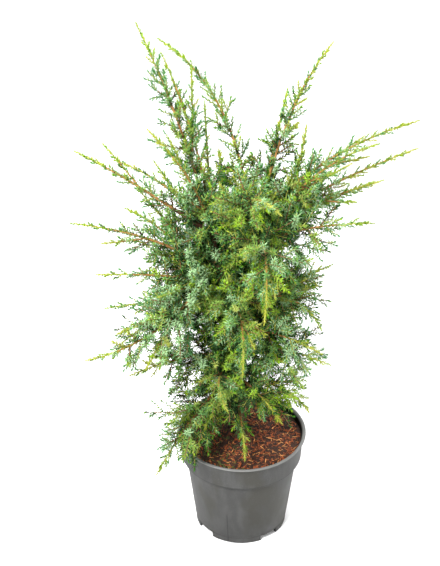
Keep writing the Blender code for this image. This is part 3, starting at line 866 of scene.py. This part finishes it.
def scatter_chips(count):
    """Bark chips and pale slivers at random on the soil, mossy ones on one side."""
    rule = random.Random(CHIP_SEED)
    places = []
    shades = []
    limit = SOIL_RADIUS - 3 * MM
    for _ in range(count):
        across = limit * math.sqrt(rule.uniform(0.012, 1.0))
        side = rule.uniform(0, math.tau)
        pale = rule.random() < SLIVER_SHARE
        length = rule.uniform(*CHIP_LENGTHS) * MM * (1.4 if pale else 1.0)
        width = length * rule.uniform(*CHIP_WIDTHS) * (0.36 if pale else 1.0)
        thickness = min(width * 0.7, rule.uniform(*CHIP_THICKNESSES) * MM)
        length = min(length, 2 * (SOIL_RADIUS - across) + 2 * MM)
        turn = Quaternion((0, 0, 1), rule.uniform(0, math.tau))
        pitch = Quaternion((0, 1, 0), rule.gauss(0, 0.28))
        roll = Quaternion((1, 0, 0), rule.gauss(0, 0.3))
        axes = (turn @ (pitch @ roll)).to_matrix()
        place = np.zeros((3, 4))
        for number, size in enumerate((length, width, thickness)):
            place[:, number] = axes.col[number] * size
        place[:, 3] = (
            across * math.cos(side), across * math.sin(side),
            SOIL_HEIGHT + rule.uniform(*CHIP_LIFTS) * MM,
        )
        places.append(place)
        if rule.random() < np.interp(place[0, 3], MOSSY_SIDE, MOSSY_SHARES):
            shades.append(MOSSY_CHIP)
        else:
            shades.append(PALE_CHIP if pale else rule.choice((BROWN_CHIP, BROWN_CHIP, DARK_CHIP)))
    chips = strewn("bark_chips", chip_template(), np.array(places), shades)
    for name, colour in CHIP_COLOURS.items():
        give(chips, fibre_material(name, linear(*colour), **CHIP_GRAIN))
    dress(chips, "soil")


def chip_template():
    """A broken bark chip: a bevelled block with one end pinched, about one unit long."""
    deselect_all()
    bpy.ops.mesh.primitive_cube_add(size=1.0)
    chip = bpy.context.object
    chip.name = "chip_template"
    for vertex in chip.data.vertices:
        if vertex.co.x > 0:
            vertex.co.y *= 0.55
            vertex.co.z *= 0.7
        elif vertex.co.y > 0:
            vertex.co.x *= 0.7
    edge = chip.modifiers.new("worn_edges", "BEVEL")
    edge.width = 0.12
    edge.segments = 1
    bpy.ops.object.modifier_apply(modifier=edge.name)
    edit_all()
    bpy.ops.mesh.quads_convert_to_tris()
    bpy.ops.object.mode_set(mode="OBJECT")
    return chip


def needle_template():
    """A slim needle along +Z, one unit long and wide, its flat side facing +Y."""
    deselect_all()
    bpy.ops.mesh.primitive_cone_add(
        vertices=3, radius1=0.5, radius2=0, depth=1 - NEEDLE_BELLY,
        location=(0, 0, (1 + NEEDLE_BELLY) / 2), rotation=(0, 0, math.pi),
    )
    needle = bpy.context.object
    needle.name = "needle_template"
    needle.scale = (1 / math.cos(math.radians(30)), NEEDLE_FLATNESS, 1)
    bpy.ops.object.transform_apply(location=True, rotation=True, scale=True)
    bpy.ops.object.mode_set(mode="EDIT")
    bpy.ops.mesh.select_mode(type="VERT")
    bpy.ops.mesh.select_all(action="DESELECT")
    bpy.ops.object.mode_set(mode="OBJECT")
    for vertex in needle.data.vertices:
        vertex.select = vertex.co.z < NEEDLE_BELLY + 0.01
    bpy.ops.object.mode_set(mode="EDIT")
    bpy.ops.mesh.extrude_region_move(TRANSFORM_OT_translate={"value": (0, 0, -NEEDLE_BELLY)})
    bpy.ops.mesh.merge(type="CENTER")
    face_outwards()
    return needle


def strewn(name, template, places, shades, sides=1):
    """One mesh from many copies of a template; removes the template.

    places holds a 3 by 4 matrix for each copy: its three axes and its origin. With
    two sides, the faces towards the template's +Y take the second slot of a shade.
    """
    mesh = template.data
    corners = np.array([vertex.co[:] for vertex in mesh.vertices])
    faces = np.array([polygon.vertices[:] for polygon in mesh.polygons])
    upper = np.array([polygon.normal.y > 0.5 for polygon in mesh.polygons])
    slots = np.array(shades)[:, None] * sides + upper[None] * (sides - 1)
    bpy.data.objects.remove(template, do_unlink=True)
    copies = len(places)
    all_corners = np.einsum("nij,vj->nvi", places[:, :, :3], corners)
    all_corners += places[:, None, :, 3]
    all_faces = faces[None] + (np.arange(copies) * len(corners))[:, None, None]
    joined = bpy.data.meshes.new(name)
    joined.vertices.add(copies * len(corners))
    joined.vertices.foreach_set("co", all_corners.ravel())
    joined.loops.add(copies * len(faces) * 3)
    joined.loops.foreach_set("vertex_index", all_faces.ravel())
    joined.polygons.add(copies * len(faces))
    joined.polygons.foreach_set("loop_start", np.arange(copies * len(faces)) * 3)
    joined.polygons.foreach_set("material_index", slots.ravel())
    joined.update(calc_edges=True)
    joined.validate()
    piece = bpy.data.objects.new(name, joined)
    bpy.context.scene.collection.objects.link(piece)
    return piece


def limb_path(start, heading, turn, rise, tip_rise, length, lateness):
    """Points of an arc that turns and bends by an even rule along its length."""
    points = [start.copy()]
    for step in range(PATH_STEPS):
        share = (step + 0.5) / PATH_STEPS
        side = math.radians(heading + turn * share)
        up = math.radians(rise + (tip_rise - rise) * share ** lateness)
        direction = Vector((
            math.cos(up) * math.cos(side),
            math.cos(up) * math.sin(side),
            math.sin(up),
        ))
        points.append(points[-1] + direction * (length / PATH_STEPS))
    return points


def along(points, distance):
    """Point and direction at a distance along a path."""
    for first, second in zip(points, points[1:]):
        reach = (second - first).length
        if distance <= reach or second is points[-1]:
            direction = (second - first).normalized()
            return first + direction * distance, direction
        distance -= reach


def at_height(points, height):
    """Point of a rising path at a height, or its end."""
    for first, second in zip(points, points[1:]):
        if second.z >= height:
            return first.lerp(second, (height - first.z) / (second.z - first.z))
    return points[-1].copy()


def path_length(points):
    """Length of a path through its points."""
    return sum((b - a).length for a, b in zip(points, points[1:]))


def stretch(points, start, end, count):
    """Points at even steps along part of a path."""
    return [along(points, start + (end - start) * i / count)[0] for i in range(count + 1)]


def taper(count, first, last):
    """Radii at even steps from the first to the last."""
    return [first + (last - first) * i / count for i in range(count + 1)]


def trunk_lines():
    """Axis, points and radii of the trunk and of the second stem."""
    root = Vector((0, 0, SOIL_HEIGHT + GAP))
    leaning = limb_path(root + Vector((0, 0, FLARE_HEIGHT)), *TRUNK_ARC)
    trunk_points = [root, root + Vector((0, 0, 0.35 * FLARE_HEIGHT))]
    trunk_points += stretch(leaning, 0, path_length(leaning), TRUNK_STATIONS)
    trunk_radii = [ROOT_FLARE, TRUNK_RADIUS + 1.6 * MM]
    trunk_radii += taper(TRUNK_STATIONS, TRUNK_RADIUS, TRUNK_TIP_RADIUS)
    second = limb_path(at_height(leaning, FORK_HEIGHT), *SECOND_ARC)
    second_points = stretch(second, 0, path_length(second), SECOND_STATIONS)
    second_radii = taper(SECOND_STATIONS, SECOND_RADIUS, SECOND_TIP_RADIUS)
    return {
        "trunk": ([root] + leaning, trunk_points, trunk_radii),
        "second_stem": (second, second_points, second_radii),
    }


def limb_lines(trunks):
    """Path of each bough and stem by the rule, with the length of its bare bough."""
    lines = {}
    for rows in LIMBS.values():
        for name, (parent, height, *angles, length, lateness, bare) in rows.items():
            parent_path = trunks[parent][0]
            start = at_height(parent_path, min(height * MM, parent_path[-1].z - 3 * MM))
            path = limb_path(start, *angles, length * MM, lateness)
            lines[name] = (path, length * MM, bare * MM)
    return lines


def tubes(name, strands, sides):
    """Tapered tubes along many paths, drawn as one curve and made a mesh."""
    curve = bpy.data.curves.new(name, "CURVE")
    curve.dimensions = "3D"
    curve.bevel_depth = 1.0
    curve.bevel_resolution = (sides - 4) // 2
    curve.use_fill_caps = True
    for points, radii in strands:
        spline = curve.splines.new("POLY")
        spline.points.add(len(points) - 1)
        for point, place, radius in zip(spline.points, points, radii):
            point.co = (*place, 1.0)
            point.radius = radius
    drawn = bpy.data.objects.new(name, curve)
    bpy.context.scene.collection.objects.link(drawn)
    make_active(drawn)
    bpy.ops.object.convert(target="MESH")
    piece = bpy.context.object
    edit_all()
    bpy.ops.mesh.remove_doubles(threshold=SEAM_GAP)
    face_outwards()
    return piece


def roughened(piece, depth, fine_scale):
    """Raises bark ridges that run mostly upright, and flakes between them."""
    normals = [vertex.normal.copy() for vertex in piece.data.vertices]
    for vertex, normal in zip(piece.data.vertices, normals):
        place = vertex.co
        ridges = noise.noise(place * Vector(RIDGES))
        flakes = 0.5 * noise.noise(place * fine_scale)
        vertex.co = place + normal * (depth * (ridges + flakes))
    make_active(piece)
    bpy.ops.object.shade_smooth()


def build_bark(colours, sizes):
    """Trunk, second stem and boughs with raised bark."""
    trunks = trunk_lines()
    lines = limb_lines(trunks)
    bark = bark_material(colours.bark)
    stems = tubes("trunk_bark", [value[1:] for value in trunks.values()], TUBE_SIDES["trunk"])
    roughened(stems, sizes.bark_relief, 420)
    give(stems, bark)
    dress(stems, "bark", "trunk", "second_stem")
    strands = []
    nodes = []
    for name, (path, length, bare) in lines.items():
        if bare:
            count = int(bare / (2 * MM))
            radii = taper(count, BOUGH_RADIUS, STEM_RADIUS + 0.1 * MM)
            strands.append((stretch(path, 0, bare, count), radii))
            nodes.append(name + "_bough")
    boughs = tubes("bough_bark", strands, TUBE_SIDES["bough"])
    roughened(boughs, sizes.bark_relief * 0.45, 600)
    give(boughs, bark)
    dress(boughs, "bark", *nodes)


def leaning_from(direction, around, lean):
    """Direction leaning away from a stem, at an angle around it."""
    across = direction.cross(Vector((0, 0, 1)))
    if across.length < 0.1:
        across = Vector((1, 0, 0))
    across.normalize()
    across = Quaternion(direction, math.radians(around)) @ across
    angle = math.radians(lean)
    return (direction * math.cos(angle) + across * math.sin(angle)).normalized()


def bent_shoot(base, direction, pull, length):
    """A short shoot that bends evenly towards a pull."""
    points = [base.copy()]
    heading = direction.copy()
    for _ in range(TUBE_POINTS - 1):
        points.append(points[-1] + heading * (length / (TUBE_POINTS - 1)))
        heading = (heading + pull * (SHOOT_BEND / (TUBE_POINTS - 1))).normalized()
    return points


def keeps_clear(points, margin):
    """Whether a shoot stays out of the pot and above the soil."""
    for place in points:
        across = math.hypot(place.x, place.y)
        if across < COLLAR_TOP_RADIUS - WALL - margin:
            if place.z < SOIL_HEIGHT + margin:
                return False
        elif across < RIM_RADIUS + margin and place.z < POT_HEIGHT + margin:
            return False
    return True


class Foliage:
    """Collects the shoots of one group of limbs and the places of their needles."""

    def __init__(self, sizes):
        self.sizes = sizes
        self.strands = {"twig": [], "brown": [], "young": []}
        self.places = []
        self.shades = []

    def shoot(self, points, first, last, kind):
        """Adds a tapering shoot of one kind of bark."""
        self.strands[kind].append((points, taper(len(points) - 1, first, last)))

    def needles(self, points, start, shade, rule, habit, fullness=1.0, shaded=0.0):
        """Tufts of needles along a shoot: a whorl of three, and three more in its bud."""
        sizes = self.sizes
        pitch, spread, length, bud = habit
        total = path_length(points)
        count = max(1, round((total - start) / (pitch * sizes.whorl_pitch)))
        around = rule.uniform(0, 360)
        for number in range(count + 1):
            distance = start + (total - start) * number / count
            base, direction = along(points, min(distance, total - 0.1 * MM))
            opening = min(1.0, END_OPENING + (total - distance) / END_LENGTH)
            around += WHORL_TURN
            # Painted shade: needles at the foot of an old side shoot take the deep shade
            tone = DEEP if distance < shaded * total else shade
            at_tip = number == count
            for blade in range(6 if bud > rule.random() or at_tip else 3):
                if rule.random() > fullness:
                    continue
                inner = blade > 2
                drift = rule.uniform(-NEEDLE_LEAN_DRIFT, NEEDLE_LEAN_DRIFT)
                lean = spread * opening * (INNER_LEAN if inner else 1.0) + drift
                turn = around + 120 * blade + (WHORL_TURN if inner else 0)
                turn += rule.uniform(-NEEDLE_TURN_DRIFT, NEEDLE_TURN_DRIFT)
                axis = leaning_from(direction, turn, lean)
                size = sizes.needle_length * length * rule.uniform(*NEEDLE_SIZES)
                size *= (0.72 + 0.28 * opening) * (INNER_SIZE if inner else 1.0)
                self.places.append((base, axis, size, direction))
                chance = rule.random()
                if chance < LIGHTER_SHARE or (inner and opening < 0.9):
                    tone_here = LIGHTER[tone]
                else:
                    tone_here = DARKER[tone] if chance > 1 - DARKER_SHARE else tone
                self.shades.append(tone_here)


def pick_shade(rule, base, from_tip, bright):
    """Shade of one spray: young sprays are yellow-green, old and inner ones deep green, partly as
    painted shade.

    Each pair is a factor near the pot's axis, or low down, and one further out or up.
    """
    shares = [np.interp(from_tip, SHADE_DISTANCES, row) for row in SHADE_SHARES]
    across = math.hypot(base.x, base.y)
    # Painted shade: the deep shade comes more often near the pot's axis and low in the crown
    shares[DEEP] *= np.interp(across, INNER_CROWN, (1.0, 0.15))
    shares[BLUE] *= np.interp(across, INNER_CROWN, (0.6, 3.0))
    shares[DEEP] *= np.interp(base.z, UPPER_CROWN, (1.0, 0.25))
    shares[FRESH] += 0.35 * bright
    shares[TIP] += np.interp(across, INNER_CROWN, (0.10, 0.30)) * bright
    shares[LIME] *= np.interp(across, INNER_CROWN, (1.0, 0.2))
    shares[LIME] += np.interp(across, INNER_CROWN, (0.45, 0.05)) * bright
    return rule.choices(range(len(SHADES)), shares)[0]


def habit_at(from_tip, opening):
    """Side shoots are close and slender near a limb's tip and open inside the crown."""
    share = np.interp(from_tip, opening, (0, 1))
    return [near + (far - near) * share for near, far in zip(SPRIG_HABIT, CROWN_HABIT)]


def grow_limb(name, line, ageing, foliage, rule):
    """One mass: main shoot, companions beside it, side shoots and their fine shoots."""
    path, length, bare = line
    ageing, crowding = LIMB_AGEINGS.get(name, (ageing, 1.0))
    bright = BRIGHT_LIMBS.get(name, 0.0)
    start = bare if bare else STEM_FOOT
    growth = (REACHES, PITCHES, OPENING)
    if name in LEADERS:
        growth = (LEADER_REACHES, LEADER_PITCHES, LEADER_OPENING)
    grow_stem(foliage, path, start, STEM_RADIUS, bright, rule)
    grow_sprigs(foliage, path, FIRST_SPRIG, ageing, crowding, growth, bright, rule)
    crowding *= COMPANION_CROWDING
    count = COMPANIONS.get(name, max(0, round((length - COMPANION_FREE) / COMPANION_STEP)))
    for number in range(count):
        distance = length * rule.uniform(*COMPANION_SPAN)
        base, direction = along(path, distance)
        reach = (length - distance) * rule.uniform(*COMPANION_SHARE)
        drift = rule.uniform(-COMPANION_DRIFT, COMPANION_DRIFT)
        around = GOLDEN_ANGLE * number + drift
        side = leaning_from(direction, around, rule.uniform(*COMPANION_LEAN))
        points = bent_shoot(base, side, direction * COMPANION_PULL, reach)
        if keeps_clear(points, COMPANION_CLEARANCE):
            grow_stem(foliage, points, 0.0, COMPANION_RADIUS, bright, rule)
            start = FIRST_COMPANION_SPRIG
            grow_sprigs(foliage, points, start, ageing, crowding, growth, bright, rule)


def grow_stem(foliage, path, start, radius, bright, rule):
    """A long shoot: its tip green, then brown under close needles, and bare inside."""
    length = path_length(path)
    green = length - min(GREEN_TIP, GREEN_SHARE * length)
    leafy = length - min(LEAFY_END, LEAFY_SHARE * length)
    turn_over = radius + (STEM_TIP_RADIUS - radius) * green / length
    inner = stretch(path, start, green, 14)
    outer = stretch(path, green, length, 12)
    foliage.shoot(inner, radius, turn_over, "twig")
    foliage.shoot(outer, turn_over, STEM_TIP_RADIUS, "young")
    tip_shade = TIP if bright or rule.random() < YELLOW_TIPS else FRESH
    foliage.needles(outer, 0.0, tip_shade, rule, LEADING_HABIT)
    leafy_end = stretch(path, leafy, green, 10)
    foliage.needles(leafy_end, 0.0, FRESH if bright else MID, rule, LEADING_HABIT)
    if leafy > start + 20 * MM:
        bare_wood = stretch(path, start, leafy, 12)
        foliage.needles(bare_wood, 6 * MM, MID, rule, BARE_HABIT, BARE_FULLNESS)


def grow_sprigs(foliage, path, start, ageing, crowding, growth, bright, rule):
    """Side shoots round a long shoot by golden angle, the longer the older its wood."""
    length = path_length(path)
    distance = start
    station = rule.randrange(8)
    while distance < length - LAST_SPRIG:
        from_tip = (length - distance) * ageing
        base, direction = along(path, distance)
        around = GOLDEN_ANGLE * station + rule.uniform(-AROUND_DRIFT, AROUND_DRIFT)
        reach = np.interp(from_tip, REACH_DISTANCES, growth[0]) * rule.uniform(*REACH_DRIFT)
        lean = min(WIDEST_LEAN, TIP_LEAN + from_tip / MM * LEAN_PER_MM)
        lean += rule.uniform(-LEAN_DRIFT, LEAN_DRIFT)
        side = leaning_from(direction, around, lean)
        pull = (direction * 0.5 + Vector((0, 0, 0.35 - 0.75 * bright))).normalized()
        habit = habit_at(from_tip, growth[2])
        age = (length - distance) * min(ageing, OLDEST_SHADE)
        grow_side_shoot(foliage, base, side, pull, reach, age, bright, habit, rule)
        pitch = np.interp(from_tip, REACH_DISTANCES, growth[1]) * crowding
        distance += pitch * rule.uniform(*PITCH_DRIFT)
        station += 1


def grow_centre(trunks, foliage, rule):
    """Leafy shoots on the trunk and the second stem, which fill the crown's middle."""
    for name, (low, high) in CENTRE_STRETCHES.items():
        path = trunks[name][0]
        distance = low
        station = 0
        while distance < min(high, path_length(path) - 4 * MM):
            base, direction = along(path, distance)
            side = leaning_from(direction, GOLDEN_ANGLE * station, rule.uniform(*CENTRE_LEAN))
            pull = Vector((0, 0, rule.uniform(*CENTRE_PULL)))
            reach = np.interp(base.z, CENTRE_HEIGHTS, CENTRE_REACHES)
            reach *= rule.uniform(*CENTRE_DRIFT)
            grow_side_shoot(foliage, base, side, pull, reach, CENTRE_AGE, 0.0, CROWN_HABIT, rule)
            distance += CENTRE_PITCH * rule.uniform(*PITCH_DRIFT)
            station += 1


def grow_side_shoot(foliage, base, side, pull, reach, age, bright, habit, rule):
    """A side shoot with its needles, and fine shoots to both sides if it is long."""
    points = bent_shoot(base, side, pull, reach)
    if not keeps_clear(points, SIDE_CLEARANCE):
        reach *= 0.5
        points = bent_shoot(base, side, pull, reach)
        if not keeps_clear(points, SIDE_CLEARANCE):
            return
    shade = pick_shade(rule, base, age, bright)
    kind, radius, shaded = "young", YOUNG_RADIUS, 0
    if age > OLD_AGE and reach > OLD_REACH:
        kind, radius, shaded = "brown", OLD_RADIUS, SHADED_SHARE
    foliage.shoot(points, radius, SIDE_TIP_RADIUS, kind)
    foliage.needles(points, min(1.5 * MM, 0.2 * reach), shade, rule, habit, shaded=shaded)
    if reach < BRANCHING_REACH:
        return
    spot = FIRST_FINE
    turn = rule.choice((-1, 1))
    while spot < reach * LAST_FINE:
        place, direction = along(points, spot)
        turn = -turn
        fine_reach = min(FINE_REACH, (reach - spot) * rule.uniform(*FINE_SHARE) + FINE_FOOT)
        around = 90 * turn + rule.uniform(-FINE_AROUND, FINE_AROUND)
        fine_side = leaning_from(direction, around, rule.uniform(*FINE_LEAN))
        fine = bent_shoot(place, fine_side, pull, fine_reach)
        if keeps_clear(fine, FINE_CLEARANCE):
            foliage.shoot(fine, FINE_RADIUS, FINE_TIP_RADIUS, "young")
            same = rule.random() < FINE_SAME_SHADE
            fine_shade = shade if same else pick_shade(rule, base, age, bright)
            foliage.needles(fine, 1.0 * MM, fine_shade, rule, habit)
        spot += rule.uniform(*FINE_PITCH) * MM


def build_foliage(colours, sizes):
    """Twigs and needles of every mass, in one piece of each kind for a group of limbs."""
    materials = []
    for shade, bloom in zip(SHADES, BLOOMS):
        colour = getattr(colours, "needles_" + shade)
        pale = [a + (b - a) * bloom for a, b in zip(colour, colours.bloom)]
        materials.append(needle_material("needles_" + shade, colour))
        materials.append(needle_material("needles_%s_bloom" % shade, pale))
    barks = {
        "twig": fibre_material("long_shoot_bark", colours.twig, dark=0.55, **TWIG_GRAIN),
        "brown": fibre_material("old_twig_bark", colours.old_twig, dark=0.55, **TWIG_GRAIN),
        "young": fibre_material("young_twig_bark", colours.young_twig, dark=0.75, **TWIG_GRAIN),
    }
    trunks = trunk_lines()
    lines = limb_lines(trunks)
    for group, (ageing, slot) in GROUPS.items():
        rule = random.Random("%s %d" % (group, RULE_SEED))
        foliage = Foliage(sizes)
        names = LIMBS.get(group, ())
        for name in names:
            grow_limb(name, lines[name], ageing, foliage, rule)
        if not names:
            grow_centre(trunks, foliage, rule)
        for kind, material in barks.items():
            if foliage.strands[kind]:
                twigs = tubes("%s_%s" % (kind, group), foliage.strands[kind], TUBE_SIDES[kind])
                give(twigs, material)
                dress(twigs, "bark")
        needles = strewn(
            "needles_" + group, needle_template(),
            needle_places(foliage.places, sizes.needle_width), foliage.shades, 2,
        )
        give(needles, *materials)
        dress(needles, slot, *[name + "_needles" for name in names])


def needle_places(rows, width):
    """Matrices for all needles, each with its flat side towards the tip of its shoot."""
    origins, axes, lengths, forward = [np.array(column) for column in zip(*rows)]
    flat = forward - axes * np.sum(forward * axes, axis=1)[:, None]
    flat /= np.linalg.norm(flat, axis=1)[:, None]
    across = np.cross(flat, axes)
    return np.stack([across * width, flat * width, axes * lengths[:, None], origins], axis=2)


def build_stage():
    """Pale floor, white surroundings, soft lights and the photo's camera."""
    deselect_all()
    bpy.ops.mesh.primitive_plane_add(size=STAGE_SIZE, location=(0, 0, 0))
    floor = bpy.context.object
    floor.name = "pale_floor"
    material, shader, paint, place = new_material("pale_floor")
    along_x, along_y = place.axis(0), place.axis(1)
    beyond = (along_x * along_x + along_y * along_y) * (1.0 / GLOW_START ** 2) - 1.0
    feed(shader, "Emission Color", beyond.clamped() * GLOW)
    shader.inputs["Emission Strength"].default_value = 1.0
    shader.inputs["Base Color"].default_value = (0.95, 0.95, 0.95, 1)
    shader.inputs["Roughness"].default_value = 0.9
    shader.inputs["Specular IOR Level"].default_value = 0.1
    give(floor, material)
    scene = bpy.context.scene
    world = bpy.data.worlds.new("studio")
    world.use_nodes = True
    background = world.node_tree.nodes["Background"]
    background.inputs["Color"].default_value = (1, 1, 1, 1)
    background.inputs["Strength"].default_value = SURROUNDINGS
    scene.world = world
    scene.view_settings.view_transform = "Standard"
    for name, (place, size, power) in LIGHTS.items():
        bpy.ops.object.light_add(type="AREA", location=place)
        light = bpy.context.object
        light.name = name + "_light"
        light.data.size = size
        light.data.energy = power
        aim = Vector(LIGHT_AIM) - Vector(place)
        light.rotation_euler = aim.to_track_quat("-Z", "Y").to_euler()
    bpy.ops.object.camera_add(
        location=CAMERA_PLACE, rotation=(math.radians(90 - CAMERA_DOWNWARD), 0, 0),
    )
    camera = bpy.context.object
    camera.data.lens = CAMERA_LENS
    camera.data.sensor_width = SENSOR
    camera.data.sensor_fit = "AUTO"
    camera.data.clip_end = 50
    scene.camera = camera


class JUNIPER_OT_pot(bpy.types.Operator):
    """Builds the nursery pot"""
    bl_idname = "juniper.pot"
    bl_label = "Pot"

    def execute(self, context):
        build_pot(context.scene.juniper_colours)
        return {"FINISHED"}


class JUNIPER_OT_soil(bpy.types.Operator):
    """Builds the soil and its bark chips"""
    bl_idname = "juniper.soil"
    bl_label = "Soil"

    def execute(self, context):
        build_soil(context.scene.juniper_colours, context.scene.juniper_sizes)
        return {"FINISHED"}


class JUNIPER_OT_bark(bpy.types.Operator):
    """Builds the trunk, the second stem and the boughs"""
    bl_idname = "juniper.bark"
    bl_label = "Trunk and boughs"

    def execute(self, context):
        build_bark(context.scene.juniper_colours, context.scene.juniper_sizes)
        return {"FINISHED"}


class JUNIPER_OT_foliage(bpy.types.Operator):
    """Grows the twigs and needles"""
    bl_idname = "juniper.foliage"
    bl_label = "Twigs and needles"

    def execute(self, context):
        build_foliage(context.scene.juniper_colours, context.scene.juniper_sizes)
        return {"FINISHED"}


class JUNIPER_OT_stage(bpy.types.Operator):
    """Sets the floor, the lights and the camera"""
    bl_idname = "juniper.stage"
    bl_label = "Stage"

    def execute(self, context):
        build_stage()
        return {"FINISHED"}


class JUNIPER_PT_panel(bpy.types.Panel):
    """Lists the pieces and the sizes that a user would change"""
    bl_idname = "JUNIPER_PT_panel"
    bl_label = "Juniper"
    bl_space_type = "VIEW_3D"
    bl_region_type = "UI"
    bl_category = "Juniper"

    def draw(self, context):
        for operator in OPERATORS:
            self.layout.operator(operator.bl_idname)
        for group in (context.scene.juniper_sizes, context.scene.juniper_colours):
            for key in group.__annotations__:
                self.layout.prop(group, key)


OPERATORS = (
    JUNIPER_OT_pot, JUNIPER_OT_soil, JUNIPER_OT_bark, JUNIPER_OT_foliage, JUNIPER_OT_stage,
)
CLASSES = (JuniperSizes, JuniperColours) + OPERATORS + (JUNIPER_PT_panel,)


def register():
    for one in CLASSES:
        bpy.utils.register_class(one)
    bpy.types.Scene.juniper_sizes = bpy.props.PointerProperty(type=JuniperSizes)
    bpy.types.Scene.juniper_colours = bpy.props.PointerProperty(type=JuniperColours)


def unregister():
    del bpy.types.Scene.juniper_colours
    del bpy.types.Scene.juniper_sizes
    for one in reversed(CLASSES):
        bpy.utils.unregister_class(one)


def main():
    """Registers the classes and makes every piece."""
    register()
    bpy.ops.juniper.pot()
    bpy.ops.juniper.soil()
    bpy.ops.juniper.bark()
    bpy.ops.juniper.foliage()
    bpy.ops.juniper.stage()


if __name__ == "__main__":
    main()
